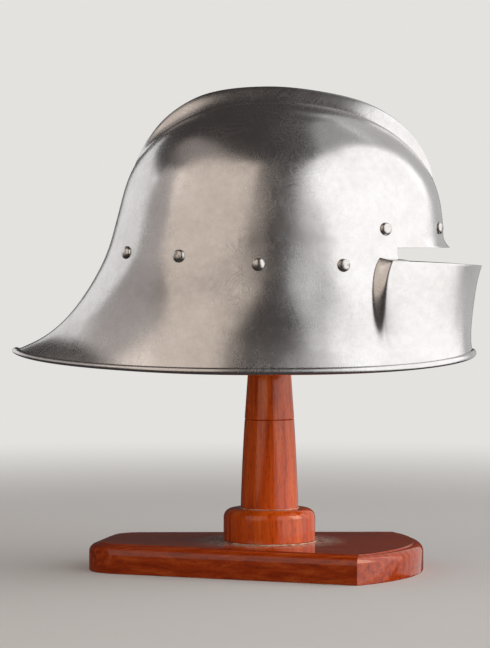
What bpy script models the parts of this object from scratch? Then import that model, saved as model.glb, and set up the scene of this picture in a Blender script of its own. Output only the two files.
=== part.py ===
"""A one-piece steel sallet with a raised comb, a swept tail and a stepped sight, on a turned wooden stand.

Metres, +Z up. The origin lies on the table, below the axis of the stand's post. The helmet faces +X.
Its outer surface is one smooth function of an angle round the post's axis, 0 at the brow and 180 degrees
at the tail, and of a course: a share of the way from the crown down to the rim.
"""

import math
from typing import NamedTuple

import bmesh
import bpy
import numpy as np
from mathutils import Matrix, Vector
from mathutils.bvhtree import BVHTree

MM = 0.001

# The skull: its reach from the post's axis at the temples, and at the end of its wall above the rolled rim
WALL = 1.8 * MM
RIM_HEIGHT = 193.0 * MM
SKULL_HEIGHT = 214.0 * MM
SKULL_FRONT = 151.7 * MM
SKULL_BACK = 140.6 * MM
SKULL_SIDE = 108.0 * MM
RIM_FRONT = 176.6 * MM
RIM_BACK = 218.5 * MM
RIM_SIDE = 120.0 * MM
RIM_DROP = 12.0 * MM
BEAD_HEIGHT = 6.2 * MM
BEAD_THICKNESS = 4.6 * MM

# The comb that runs over the crown
COMB_HEIGHT = 14.2 * MM
COMB_WIDTH = 24.0 * MM

# The sight, the flange of the brow above it and the stepped face below it
SIGHT_TOP = 88.0 * MM
SIGHT_GAP = 8.2 * MM
SIGHT_WIDENING = 5.4 * MM
LEDGE_THICKNESS = 1.8 * MM
FACE_STEP_AHEAD = 32.6 * MM
FACE_STEP_BESIDE = 12.0 * MM
FLANGE_REACH = 5.5 * MM
FLANGE_HEIGHT = 11.0 * MM

# The lining rivets, of which the domed heads show
RIVET_HEAD_RADIUS = 5.6 * MM
RIVET_HEAD_HEIGHT = 3.4 * MM
RIVET_SHANK_RADIUS = 2.2 * MM
RIVET_TAIL_RADIUS = 4.2 * MM
RIVET_TAIL_HEIGHT = 1.4 * MM
RIVET_HOLE_PLAY = 0.3 * MM

# The stand
BOARD_LENGTH = 288.0 * MM
BOARD_THICKNESS = 25.0 * MM
BOARD_WIDE_END = 214.0 * MM
BOARD_NARROW_END = 112.0 * MM
BOARD_BULGE = 40.0 * MM
BOARD_CORNER = 34.0 * MM
BOARD_ROUND = 7.5 * MM
BOARD_AHEAD = 134.0 * MM
BOARD_TURN = math.radians(-11.0)
COLLAR_RADIUS = 40.0 * MM
COLLAR_HEIGHT = 28.5 * MM
COLLAR_ROUND = 8.0 * MM
POST_FOOT_RADIUS = 25.1 * MM
POST_JOINT_RADIUS = 21.6 * MM
POST_JOINT_HEIGHT = 131.5 * MM
NECK_RADIUS = 15.0 * MM
NECK_HEIGHT = 228.0 * MM
SPIGOT_RADIUS = 9.0 * MM
SPIGOT_DEPTH = 16.0 * MM
REST_RADIUS = 44.0 * MM
REST_CROWN_RADIUS = 105.0 * MM
REST_DEPTH = 22.0 * MM

# Pieces that touch keep this much room
SEAT_GAP = 0.3 * MM

# Angles in degrees round the post's axis, from the brow
SIGHT_END = 44.3
STEP_FULL = 49.2
STEP_START = 52.6
STEP_SPREAD = 0.8
STEP_LEAN = 7.4
STEP_LEAN_BEGINS = 20.0
STEP_LEAN_ENDS = 92.0
WIDEST_BEHIND = 8.5
SIDE_BEND_AT = 102.5
SIDE_BEND_BEHIND = 9.0
SIDE_BEND_AHEAD = 20.0
FLANGE_FULL = 15.0
FLANGE_START = 40.0
COMB_FRONT_FULL = 67.0
COMB_BACK_FULL = 108.0
COMB_BACK_END = 158.0


class DomeLevel(NamedTuple):
    """Shares of SKULL_HEIGHT above the rim, and of the skull's front, side and back reach."""

    height: float
    front: float
    side: float
    back: float


class SkirtLevel(NamedTuple):
    """Share of SKULL_HEIGHT above the rim, and shares of the way from the skull's reach to the rim's."""

    height: float
    front: float
    side: float
    back: float


DOME_LEVELS = (
    DomeLevel(1.000, 0.000, 0.000, 0.000),
    DomeLevel(0.988, 0.215, 0.238, 0.262),
    DomeLevel(0.955, 0.452, 0.432, 0.440),
    DomeLevel(0.906, 0.629, 0.595, 0.590),
    DomeLevel(0.841, 0.767, 0.732, 0.718),
    DomeLevel(0.768, 0.866, 0.836, 0.812),
    DomeLevel(0.686, 0.939, 0.913, 0.876),
    DomeLevel(0.584, 0.982, 0.968, 0.922),
    DomeLevel(0.474, 0.997, 0.993, 0.966),
    DomeLevel(0.401, 1.000, 1.000, 1.000),
)
SKIRT_LEVELS = (
    SkirtLevel(0.299, 0.140, 0.160, 0.131),
    SkirtLevel(0.197, 0.410, 0.380, 0.307),
    SkirtLevel(0.095, 0.700, 0.680, 0.554),
    SkirtLevel(0.034, 0.885, 0.880, 0.794),
    SkirtLevel(0.000, 1.000, 1.000, 1.000),
)
CAP_LEVEL = 6

# How the comb is rounded and hollowed, how the plan's outline narrows towards the tail and flattens at the
# skirt's side, how the rim bows down between its two ends, and how the stepped face leans and dies out
COMB_ROUND = 0.15
COMB_HOLLOW = 1.6
SIDE_BEND = 0.15
TAIL_PINCH = 0.50
TAIL_SHARPNESS = 4
BOW_SOFTNESS = 0.14
BOW_FULLNESS = 0.6
LEAN_EASE = 0.35
FACE_FADE = 1.2
SIDE_FADE_ENDS = 0.94
SIDE_FADE_SHARPNESS = 12


class Rivet(NamedTuple):
    """Degrees round the post's axis, and share of SKULL_HEIGHT above the rim."""

    angle: float
    height: float


RIVETS = (
    Rivet(14.3, 0.491),
    Rivet(48.9, 0.485),
    Rivet(66.1, 0.344),
    Rivet(94.0, 0.348),
    Rivet(122.0, 0.379),
    Rivet(149.4, 0.392),
)

# Columns of the faceted wall, in degrees, and its rows: shares of the way over the cap, and heights
COLUMN_ANGLES = (0, 7, 14, 21, 29, 37, SIGHT_END, STEP_FULL, 50.9, STEP_START, 60, 67, 75, 83, 91,
                 100, 109, 118, 126, 134, 142, 150, 159, 167, 174, 180)
CAP_SHARES = (1.0, 0.8, 0.6, 0.4, 0.24)
COMB_SHARES = (1.0, 0.75, 0.5, 0.3, 0.14, 0.0)
UPPER_SKIRT_ROWS = 3
LOWER_SKIRT_ROWS = 5
BEAD_ANGLES = (30, 60, 90, 120, 150, 180, 205)


class Spline:
    """A cubic through given values, with smooth curvature, level at its start if asked."""

    def __init__(self, knots, values, level_start=False):
        self.knots = np.array(knots, float)
        self.values = np.array(values, float)
        count = len(self.knots)
        gaps = np.diff(self.knots)
        slopes = np.diff(self.values) / gaps
        matrix = np.eye(count)
        right = np.zeros(count)
        for i in range(1, count - 1):
            matrix[i, i - 1:i + 2] = gaps[i - 1], 2 * (gaps[i - 1] + gaps[i]), gaps[i]
            right[i] = 6 * (slopes[i] - slopes[i - 1])
        if level_start:
            matrix[0, :2] = 2 * gaps[0], gaps[0]
            right[0] = 6 * slopes[0]
        self.bends = np.linalg.solve(matrix, right)

    def at(self, knot):
        """The value at a place between the first and the last knot."""
        i = int(np.clip(np.searchsorted(self.knots, knot) - 1, 0, len(self.knots) - 2))
        gap = self.knots[i + 1] - self.knots[i]
        before = (self.knots[i + 1] - knot) / gap
        after = 1 - before
        bend = (before ** 3 - before) * self.bends[i] + (after ** 3 - after) * self.bends[i + 1]
        return before * self.values[i] + after * self.values[i + 1] + bend * gap * gap / 6


def smooth_step(value, start, end):
    """0 before start, 1 after end, with a soft turn at both."""
    share = min(max((value - start) / (end - start), 0.0), 1.0)
    return share * share * (3 - 2 * share)


def profile_splines():
    """The reach to the front, side and back, and the height, each a spline of the course."""
    heights = [level.height * SKULL_HEIGHT for level in DOME_LEVELS + SKIRT_LEVELS]
    reaches = {}
    for name, skull, rim in (
        ("front", SKULL_FRONT, RIM_FRONT),
        ("side", SKULL_SIDE, RIM_SIDE),
        ("back", SKULL_BACK, RIM_BACK),
    ):
        dome = [getattr(level, name) * skull for level in DOME_LEVELS]
        skirt = [skull + getattr(level, name) * (rim - skull) for level in SKIRT_LEVELS]
        reaches[name] = dome + skirt
    middle = [(front + side + back) / 3 for front, side, back in zip(*reaches.values())]
    steps = np.hypot(np.diff(middle), np.diff(heights))
    courses = np.concatenate([[0.0], np.cumsum(steps)]) / steps.sum()
    splines = {name: Spline(courses, values) for name, values in reaches.items()}
    splines["height"] = Spline(courses, heights, level_start=True)
    return splines, courses[CAP_LEVEL]


PROFILE, CAP_COURSE = profile_splines()


def course_at(height):
    """The course at which the wall is this high above the rim's line."""
    courses = np.linspace(0.0, 1.0, 801)
    heights = [PROFILE["height"].at(course) for course in courses]
    return float(np.interp(-height, -np.array(heights), courses))


def base_point(angle, course):
    """A point of the smooth outer wall, before the comb, the flange and the stepped face are added."""
    front = PROFILE["front"].at(course)
    back = PROFILE["back"].at(course)
    cosine, sine = math.cos(angle), math.sin(angle)
    height = PROFILE["height"].at(course)
    skirt = max(0.0, 1 - height / SIGHT_TOP)
    spread = smooth_step(skirt, 0.0, 1.0)
    pinch = TAIL_PINCH * spread * ((1 - cosine) / 2) ** TAIL_SHARPNESS
    behind = math.radians(WIDEST_BEHIND) * spread * sine * sine
    turn = angle - math.radians(SIDE_BEND_AT)
    width = math.radians(SIDE_BEND_BEHIND if turn > 0 else SIDE_BEND_AHEAD)
    bend = SIDE_BEND * turn * math.exp(-(turn / width) ** 2 / 2) * smooth_step(skirt, 0.35, 0.85)
    bow = (math.hypot(sine, BOW_SOFTNESS) - BOW_SOFTNESS) / (math.hypot(1, BOW_SOFTNESS) - BOW_SOFTNESS)
    bow = 1 - max(0.0, 1 - bow) ** (1 + BOW_FULLNESS * (1 - cosine) / 2)
    return Vector((
        (front + back) / 2 * cosine + (front - back) / 2 * cosine * cosine,
        -PROFILE["side"].at(course) * math.sin(angle - behind) * (1 - pinch) * (1 + bend),
        RIM_HEIGHT + height - RIM_DROP * bow * skirt * skirt,
    ))


def wall_frame(angle, course):
    """The outward normal of the smooth wall, and its direction down the wall."""
    small = 1e-3
    course = max(course, 2 * small)
    around = base_point(angle + small, course) - base_point(angle - small, course)
    down = base_point(angle, min(course + small, 1.0)) - base_point(angle, course - small)
    normal = around.cross(down).normalized()
    return normal, down.normalized()


def flange_reach(angle, height):
    """How far the brow's edge is turned out above the sight."""
    across = 1 - smooth_step(math.degrees(angle), FLANGE_FULL, FLANGE_START)
    share = max(0.0, 1 - (height - SIGHT_TOP) / FLANGE_HEIGHT)
    return FLANGE_REACH * across * share * share


def face_window(angle, depth=0.0):
    """1 over the stepped face, falling to 0 beyond its side, and more gently lower down."""
    spread = STEP_SPREAD * depth
    return 1 - smooth_step(math.degrees(angle), STEP_FULL - spread, STEP_START + spread)


def sight_bottom(angle):
    """The height of the sight's lower edge above the rim's line: it falls towards the front."""
    return SIGHT_TOP - SIGHT_GAP - SIGHT_WIDENING * face_window(angle) * max(0.0, math.cos(angle)) ** 4


def face_depth(angle, height):
    """0 at the sight's lower edge, 1 at the rim's line."""
    return min(max(1 - height / sight_bottom(angle), 0.0), 1.0)


def leaned(angle, height):
    """A column's angle, which leans back below the sight so that the step's side does."""
    degrees = math.degrees(angle)
    share = smooth_step(degrees, STEP_LEAN_BEGINS, STEP_FULL) * smooth_step(-degrees, -STEP_LEAN_ENDS, -STEP_START)
    depth = face_depth(angle, height)
    return angle + math.radians(STEP_LEAN) * share * depth * (1 + LEAN_EASE) / (depth + LEAN_EASE)


def face_offset(angle, height):
    """How the stepped face stands off the smooth wall: far at the front, less at its side, none at the rim."""
    share = min(math.degrees(angle) / STEP_FULL, 1.0)
    step = FACE_STEP_BESIDE + (FACE_STEP_AHEAD - FACE_STEP_BESIDE) * (1 - share * share)
    outward = Vector((math.cos(angle) / SKULL_FRONT, -math.sin(angle) / SKULL_SIDE, 0)).normalized()
    depth = face_depth(angle, height)
    ahead = (1 - depth) ** FACE_FADE
    beside = 1 - smooth_step(depth, 0.0, SIDE_FADE_ENDS)
    return outward * step * face_window(angle, depth) * (ahead + (beside - ahead) * share ** SIDE_FADE_SHARPNESS)


def cap_place(angle, share):
    """The angle and the course of a point of the cap: lines of one share run from the brow to the back."""
    along, across = math.cos(angle), share * math.sin(angle)
    return math.atan2(across, along), CAP_COURSE * math.hypot(along, across)


def comb_share():
    """The share of the cap that the comb's half width takes at the crown."""
    courses = np.linspace(0.0, CAP_COURSE, 200)
    widths = [PROFILE["side"].at(course) for course in courses]
    return float(np.interp(COMB_WIDTH / 2, widths, courses)) / CAP_COURSE


COMB_SHARE = comb_share()


def comb_height(angle, across):
    """The comb's height at a column's angle, across being 0 at its ridge and 1 at its foot."""
    degrees = math.degrees(angle)
    swell = smooth_step(degrees, 0.0, COMB_FRONT_FULL) * smooth_step(-degrees, -COMB_BACK_END, -COMB_BACK_FULL)
    reach = (math.hypot(across, COMB_ROUND) - COMB_ROUND) / (math.hypot(1, COMB_ROUND) - COMB_ROUND)
    return COMB_HEIGHT * swell * max(0.0, 1 - reach) ** COMB_HOLLOW


def cap_points(angle, share):
    """The outer and inner point of the cap at a column's angle and a share of the way from its ridge."""
    turned, course = cap_place(angle, share)
    base = base_point(turned, course)
    normal = wall_frame(turned, course)[0] if course > 1e-6 else Vector((0, 0, 1))
    foot = COMB_WIDTH / 2
    outer = base + normal * comb_height(angle, share / COMB_SHARE)
    inside = comb_height(angle, share / COMB_SHARE / (1 - WALL / foot))
    return outer, base + normal * (inside - WALL)


def skirt_points(angle, height, offset, lowered=0.0):
    """The outer and inner point of the wall at a height above the rim's line, moved by an offset."""
    course = course_at(height)
    turned = leaned(angle, height)
    place = base_point(turned, course) + offset
    normal, _ = wall_frame(turned, course)
    return place, place - normal * WALL - Vector((0, 0, lowered))


def bead_points(angle):
    """The rolled rim's outline at one column, from its foot on the outer wall to the inner wall."""
    angle = leaned(angle, 0.0)
    normal, down = wall_frame(angle, 1.0)
    centre = base_point(angle, 1.0) + down * BEAD_HEIGHT / 2
    points = []
    for turn in BEAD_ANGLES:
        turn = math.radians(turn)
        out = normal * math.sin(turn) * BEAD_THICKNESS / 2
        points.append(centre + out - down * math.cos(turn) * BEAD_HEIGHT / 2)
    return points


def column_rows(angle):
    """The outer and inner points of a column from the comb's ridge to the rim, and which rows the sight cuts."""
    shares = [share for share in CAP_SHARES] + [COMB_SHARE * share for share in COMB_SHARES]
    rows = [cap_points(angle, share) for share in sorted(shares)]
    cap_height = DOME_LEVELS[CAP_LEVEL].height * SKULL_HEIGHT
    flange_top = SIGHT_TOP + FLANGE_HEIGHT
    for i in range(1, UPPER_SKIRT_ROWS):
        height = cap_height + (flange_top - cap_height) * i / UPPER_SKIRT_ROWS
        rows.append(skirt_points(angle, height, Vector()))
    for share in (1.0, 0.5, 0.0):
        height = SIGHT_TOP + FLANGE_HEIGHT * share
        rows.append(skirt_points(angle, height, Vector((flange_reach(angle, height), 0, 0))))
    sight_row = len(rows) - 1
    ledge = sight_bottom(angle)
    open_below = math.degrees(angle) < SIGHT_END + 0.01
    drop = 0.0 if open_below else WALL * face_window(angle)
    rows.append(skirt_points(angle, ledge, Vector(), drop))
    lip = ledge - LEDGE_THICKNESS
    for i in range(LOWER_SKIRT_ROWS + 1):
        height = lip * (1 - i / LOWER_SKIRT_ROWS)
        lowered = drop * max(0.0, 1 - 3 * i / LOWER_SKIRT_ROWS)
        rows.append(skirt_points(angle, height, face_offset(angle, height), lowered))
    return rows, sight_row


def material(name, colour, roughness, metallic):
    """A plain finish for the solids."""
    made = bpy.data.materials.new(name)
    made.use_nodes = True
    shader = made.node_tree.nodes["Principled BSDF"]
    shader.inputs["Base Color"].default_value = (*colour, 1.0)
    shader.inputs["Roughness"].default_value = roughness
    shader.inputs["Metallic"].default_value = metallic
    return made


def add_object(name, mesh, finish):
    """Puts a mesh into the scene as a named piece with its own finish."""
    made = bpy.data.objects.new(name, mesh)
    bpy.context.scene.collection.objects.link(made)
    mesh.materials.append(finish)
    return made


def finish_mesh(bm, name, sharp=math.radians(40)):
    """Turns a bmesh into a mesh with smooth round surfaces and sharp edges."""
    bmesh.ops.recalc_face_normals(bm, faces=bm.faces)
    mesh = bpy.data.meshes.new(name)
    bm.to_mesh(mesh)
    bm.free()
    mesh.shade_smooth()
    mesh.set_sharp_from_angle(angle=sharp)
    return mesh


def skull_mesh():
    """The whole shell: two skins joined along the sight and, through the rolled rim, along the bottom."""
    angles = [math.radians(angle) for angle in COLUMN_ANGLES]
    columns = []
    for angle in angles:
        rows, sight_row = column_rows(angle)
        columns.append((rows, bead_points(angle)))
    bm = bmesh.new()
    last = len(angles) - 1
    row_count = len(columns[0][0])
    cache = {}

    def vertex(side, column, skin, row):
        """One corner of the grid: the median columns and the ridge are shared by the two sides."""
        pole = skin != "bead" and column in (0, last) and row <= len(CAP_SHARES) + len(COMB_SHARES) - 1
        if pole:
            row = len(CAP_SHARES) + len(COMB_SHARES) - 1
        shared = column in (0, last) or (skin != "bead" and row == 0)
        key = (1 if shared else side, column, skin, row)
        if key not in cache:
            rows, bead = columns[column]
            place = bead[row] if skin == "bead" else rows[row][0 if skin == "outer" else 1]
            cache[key] = bm.verts.new((place.x, 0.0 if shared else place.y * key[0], place.z))
        return cache[key]

    def face(*corners):
        """A face of those corners, less the ones that fall together at a pole."""
        distinct = list(dict.fromkeys(corners))
        if len(distinct) > 2:
            bm.faces.new(distinct)

    sight_columns = COLUMN_ANGLES.index(SIGHT_END)
    for side in (1, -1):
        for i in range(last):
            for row in range(row_count - 1):
                if i < sight_columns and row in (sight_row, sight_row + 1):
                    continue
                for skin in ("outer", "inner"):
                    corners = [(i, row), (i + 1, row), (i + 1, row + 1), (i, row + 1)]
                    face(*[vertex(side, c, skin, r) for c, r in corners])
            if i < sight_columns:
                for row in (sight_row, sight_row + 2):
                    face(vertex(side, i, "outer", row), vertex(side, i + 1, "outer", row),
                         vertex(side, i + 1, "inner", row), vertex(side, i, "inner", row))
            rim = row_count - 1
            chain = [("outer", rim)] + [("bead", k) for k in range(len(BEAD_ANGLES))] + [("inner", rim)]
            for (skin, row), (next_skin, next_row) in zip(chain, chain[1:]):
                face(vertex(side, i, skin, row), vertex(side, i + 1, skin, row),
                     vertex(side, i + 1, next_skin, next_row), vertex(side, i, next_skin, next_row))
        for row in (sight_row, sight_row + 1):
            face(vertex(side, sight_columns, "outer", row), vertex(side, sight_columns, "outer", row + 1),
                 vertex(side, sight_columns, "inner", row + 1), vertex(side, sight_columns, "inner", row))
    return finish_mesh(bm, "skull")


def turned_mesh(name, profile, sides=32):
    """A solid turned about the post's axis from an outline of radii and heights, from the bottom up."""
    bm = bmesh.new()
    rings = []
    for radius, height in profile:
        if radius < 1e-9:
            rings.append([bm.verts.new((0, 0, height))])
            continue
        turns = [2 * math.pi * i / sides for i in range(sides)]
        rings.append([bm.verts.new((radius * math.cos(t), radius * math.sin(t), height)) for t in turns])
    for lower, upper in zip(rings, rings[1:]):
        for i in range(sides):
            corners = [lower[i % len(lower)], lower[(i + 1) % len(lower)],
                       upper[(i + 1) % len(upper)], upper[i % len(upper)]]
            bm.faces.new(list(dict.fromkeys(corners)))
    for ring in (rings[0], rings[-1]):
        if len(ring) > 1:
            bm.faces.new(ring)
    return finish_mesh(bm, name)


def arc(centre, radius, start, end, steps):
    """Points along an arc, in degrees from the outward direction."""
    turns = [math.radians(start + (end - start) * i / steps) for i in range(steps + 1)]
    return [(centre[0] + radius * math.cos(t), centre[1] + radius * math.sin(t)) for t in turns]


def rivet_mesh(grip):
    """A rivet along +Z: the wall's outer face is at 0, and grip is how deep its tail lies."""
    head = [(RIVET_HEAD_RADIUS * math.cos(t), RIVET_HEAD_HEIGHT * math.sin(t))
            for t in (0.0, math.radians(35), math.radians(65))]
    profile = [(RIVET_TAIL_RADIUS * 0.8, -grip - RIVET_TAIL_HEIGHT), (RIVET_TAIL_RADIUS, -grip),
               (RIVET_SHANK_RADIUS, -grip), (RIVET_SHANK_RADIUS, 0.0), *head, (0.0, RIVET_HEAD_HEIGHT)]
    return turned_mesh("rivet", profile, sides=10)


def surface_depths(tree, place, normal, radius, start):
    """How far below start, along the normal, the wall lies under a disc of this radius."""
    across = normal.orthogonal().normalized()
    other = normal.cross(across)
    depths = []
    for share in (0.55, 0.8, 1.0):
        for i in range(16):
            turn = 2 * math.pi * i / 16
            side = (across * math.cos(turn) + other * math.sin(turn)) * radius * share
            hit = tree.ray_cast(place + side + normal * start, -normal)
            if hit[0] is not None:
                depths.append(hit[3])
    return depths


def add_rivets(skull, finish):
    """Seats each rivet on the wall, and drills its hole."""
    tree = BVHTree.FromObject(skull, bpy.context.evaluated_depsgraph_get())
    holes = bmesh.new()
    reach = 12 * MM
    for side, label in ((1, "right"), (-1, "left")):
        for number, rivet in enumerate(RIVETS, 1):
            angle, course = math.radians(rivet.angle), course_at(rivet.height * SKULL_HEIGHT)
            place, normal = base_point(angle, course), wall_frame(angle, course)[0]
            place.y *= side
            normal.y *= side
            top = reach - min(surface_depths(tree, place, normal, RIVET_HEAD_RADIUS, reach))
            bottom = reach - min(surface_depths(tree, place, -normal, RIVET_TAIL_RADIUS, reach))
            grip = top + bottom + 2 * SEAT_GAP
            seat = place + normal * (top + SEAT_GAP)
            turn = normal.to_track_quat("Z", "Y").to_matrix().to_4x4()
            made = add_object(f"rivet_{label}_{number}", rivet_mesh(grip), finish)
            made.matrix_world = Matrix.Translation(seat) @ turn
            hole = Matrix.Translation(place) @ turn
            radius = RIVET_SHANK_RADIUS + RIVET_HOLE_PLAY
            bmesh.ops.create_cone(holes, cap_ends=True, segments=10, radius1=radius, radius2=radius,
                                  depth=8 * WALL, matrix=hole)
    mesh = bpy.data.meshes.new("rivet_holes")
    holes.to_mesh(mesh)
    holes.free()
    cutter = bpy.data.objects.new("rivet_holes", mesh)
    bpy.context.scene.collection.objects.link(cutter)
    cutter.hide_render = True
    cutter.display_type = "WIRE"
    cut = skull.modifiers.new("rivet holes", "BOOLEAN")
    cut.operation = "DIFFERENCE"
    cut.object = cutter


def board_outline(inset):
    """The board's outline, symmetric about its own length: a bowed wide end ahead, a rounded narrow end behind."""
    half_wide = BOARD_WIDE_END / 2 - inset
    half_narrow = BOARD_NARROW_END / 2 - inset
    back = BOARD_AHEAD - BOARD_LENGTH + inset
    shoulder = BOARD_AHEAD - BOARD_BULGE
    sag = BOARD_BULGE - inset
    radius = (half_wide ** 2 + sag ** 2) / (2 * sag)
    swing = math.degrees(math.asin(half_wide / radius))
    ahead = arc((BOARD_AHEAD - inset - radius, 0.0), radius, -swing, swing, 10)
    slope = math.atan2(half_wide - half_narrow, shoulder - back)
    round_radius = BOARD_CORNER - inset
    centre_y = half_narrow - round_radius * math.tan(math.radians(45) - slope / 2)
    corner = arc((back + round_radius, centre_y), round_radius, 90 + math.degrees(slope), 180, 4)
    mirrored = [(x, -y) for x, y in reversed(corner)]
    return ahead + corner + mirrored


def board_mesh():
    """The base board: a straight edge below, a quarter round above it, and a shallow step to the top."""
    bm = bmesh.new()
    step = 1.0 * MM
    levels = [(0.0, 0.0), (0.0, BOARD_THICKNESS - BOARD_ROUND - step)]
    for turn in (30, 60, 90):
        turn = math.radians(turn)
        levels.append((BOARD_ROUND * (1 - math.cos(turn)),
                       BOARD_THICKNESS - step - BOARD_ROUND * (1 - math.sin(turn))))
    levels += [(BOARD_ROUND + step, BOARD_THICKNESS - step), (BOARD_ROUND + step, BOARD_THICKNESS)]
    rings = []
    for inset, height in levels:
        rings.append([bm.verts.new((x, y, height)) for x, y in board_outline(inset)])
    count = len(rings[0])
    for lower, upper in zip(rings, rings[1:]):
        for i in range(count):
            j = (i + 1) % count
            bm.faces.new((lower[i], lower[j], upper[j], upper[i]))
    bm.faces.new(rings[0])
    bm.faces.new(rings[-1])
    return finish_mesh(bm, "base_board")


def collar_mesh():
    """The turned collar that the post stands in."""
    foot = BOARD_THICKNESS + SEAT_GAP
    shoulder = arc((COLLAR_RADIUS - COLLAR_ROUND, foot + COLLAR_HEIGHT - COLLAR_ROUND), COLLAR_ROUND, 0, 90, 4)
    socket = POST_FOOT_RADIUS + SEAT_GAP
    profile = [(socket, foot), (COLLAR_RADIUS, foot), *shoulder, (socket, foot + COLLAR_HEIGHT)]
    return ring_mesh("collar", profile)


def ring_mesh(name, profile, sides=32):
    """A ring turned about the post's axis from a closed outline."""
    bm = bmesh.new()
    turns = [2 * math.pi * i / sides for i in range(sides)]
    rings = [[bm.verts.new((r * math.cos(t), r * math.sin(t), h)) for t in turns] for r, h in profile]
    for k, ring in enumerate(rings):
        following = rings[(k + 1) % len(rings)]
        for i in range(sides):
            j = (i + 1) % sides
            bm.faces.new((ring[i], ring[j], following[j], following[i]))
    return finish_mesh(bm, name)


def lower_post_mesh():
    """The tapered lower post, standing on the board inside the collar, with a socket for the upper one."""
    foot = BOARD_THICKNESS + SEAT_GAP
    bore = SPIGOT_RADIUS + SEAT_GAP
    profile = [(0.0, foot), (POST_FOOT_RADIUS, foot), (POST_FOOT_RADIUS, foot + COLLAR_HEIGHT),
               (POST_JOINT_RADIUS, POST_JOINT_HEIGHT), (bore, POST_JOINT_HEIGHT),
               (bore, POST_JOINT_HEIGHT - SPIGOT_DEPTH - SEAT_GAP), (0.0, POST_JOINT_HEIGHT - SPIGOT_DEPTH - SEAT_GAP)]
    return turned_mesh("post_lower", profile)


def upper_post_mesh(top):
    """The upper post with its spigot, neck and rounded crown rest, whose highest point is at top."""
    foot = POST_JOINT_HEIGHT + SEAT_GAP
    edge = REST_CROWN_RADIUS - math.sqrt(REST_CROWN_RADIUS ** 2 - REST_RADIUS ** 2)
    swing = math.degrees(math.asin(REST_RADIUS / REST_CROWN_RADIUS))
    crown = arc((0.0, top - REST_CROWN_RADIUS), REST_CROWN_RADIUS, 90 - swing, 90, 4)
    profile = [(0.0, POST_JOINT_HEIGHT - SPIGOT_DEPTH), (SPIGOT_RADIUS, POST_JOINT_HEIGHT - SPIGOT_DEPTH),
               (SPIGOT_RADIUS, foot), (POST_JOINT_RADIUS, foot), (NECK_RADIUS, NECK_HEIGHT),
               (NECK_RADIUS, top - edge - REST_DEPTH), (REST_RADIUS, top - edge - REST_DEPTH * 0.35),
               *crown[:-1], (0.0, top)]
    return turned_mesh("post_upper", profile)


def rest_top(skull):
    """The height of the crown rest at which it just clears the inside of the skull."""
    tree = BVHTree.FromObject(skull, bpy.context.evaluated_depsgraph_get())
    lowest = math.inf
    for ring in range(13):
        radius = REST_RADIUS * ring / 12
        drop = REST_CROWN_RADIUS - math.sqrt(REST_CROWN_RADIUS ** 2 - radius ** 2)
        for i in range(48):
            turn = 2 * math.pi * i / 48
            start = Vector((radius * math.cos(turn), radius * math.sin(turn), RIM_HEIGHT))
            hit = tree.ray_cast(start, Vector((0, 0, 1)))
            if hit[0] is not None:
                lowest = min(lowest, hit[0].z + drop)
    return lowest - SEAT_GAP


def main():
    """Clears the scene and builds the helmet and its stand."""
    for old in list(bpy.data.objects):
        bpy.data.objects.remove(old)
    steel = material("polished steel", (0.62, 0.61, 0.60), 0.25, 1.0)
    rivet_steel = material("rivet steel", (0.55, 0.54, 0.53), 0.3, 1.0)
    wood = material("varnished wood", (0.42, 0.12, 0.045), 0.3, 0.0)
    skull = add_object("skull", skull_mesh(), steel)
    add_rivets(skull, rivet_steel)
    board = add_object("base_board", board_mesh(), wood)
    board.rotation_euler.z = BOARD_TURN
    add_object("collar", collar_mesh(), wood)
    add_object("post_lower", lower_post_mesh(), wood)
    add_object("post_upper", upper_post_mesh(rest_top(skull)), wood)


main()
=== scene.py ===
"""The looks of a one-piece steel sallet on its turned wooden stand.

The pieces are worked out from the same named sizes as the solids, at a finer division, and take their places.
Metres, +Z up. The helmet faces +X and its right side faces the camera.
"""

from __future__ import annotations

import logging
import math
from dataclasses import dataclass, field
from enum import Enum
from typing import Any, Callable, Iterable, NamedTuple, Sequence

import bmesh
import bpy
import numpy as np
from mathutils import Euler, Matrix, Vector, noise

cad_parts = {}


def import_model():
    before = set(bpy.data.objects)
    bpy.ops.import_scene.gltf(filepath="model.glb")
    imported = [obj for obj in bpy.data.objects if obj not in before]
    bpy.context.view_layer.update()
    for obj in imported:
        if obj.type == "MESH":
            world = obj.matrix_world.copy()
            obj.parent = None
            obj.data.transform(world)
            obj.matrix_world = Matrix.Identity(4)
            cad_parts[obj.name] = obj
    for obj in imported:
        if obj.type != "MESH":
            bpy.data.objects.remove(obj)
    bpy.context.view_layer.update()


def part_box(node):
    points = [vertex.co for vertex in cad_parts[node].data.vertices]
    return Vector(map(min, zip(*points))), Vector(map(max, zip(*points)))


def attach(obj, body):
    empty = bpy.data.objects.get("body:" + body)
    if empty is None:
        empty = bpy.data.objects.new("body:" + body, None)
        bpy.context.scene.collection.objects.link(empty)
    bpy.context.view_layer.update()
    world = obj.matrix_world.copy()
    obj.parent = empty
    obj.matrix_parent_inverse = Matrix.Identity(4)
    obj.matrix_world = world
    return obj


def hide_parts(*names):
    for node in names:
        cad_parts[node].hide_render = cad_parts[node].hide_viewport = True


LOG = logging.getLogger("sallet")
MM = 0.001


class Slot(Enum):
    """The record's material slots."""

    STEEL = "polished_steel"
    RIVET = "rivet_steel"
    WOOD = "varnished_wood"


class Side(Enum):
    """The two sides of the helmet, as the wearer has them: the sign of Y turned over."""

    RIGHT = 1
    LEFT = -1


# ---- Colour and nodes


def linear(code: str, alpha: float = 1.0) -> tuple[float, float, float, float]:
    """Turns an sRGB hex colour into linear values.

    Args:
        code: The colour as "#RRGGBB".
        alpha: The fourth value.

    Returns:
        Red, green, blue and alpha, linear.
    """
    parts = [int(code[i:i + 2], 16) / 255 for i in (1, 3, 5)]
    red, green, blue = [p / 12.92 if p <= 0.04045 else ((p + 0.055) / 1.055) ** 2.4 for p in parts]
    return red, green, blue, alpha


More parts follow.
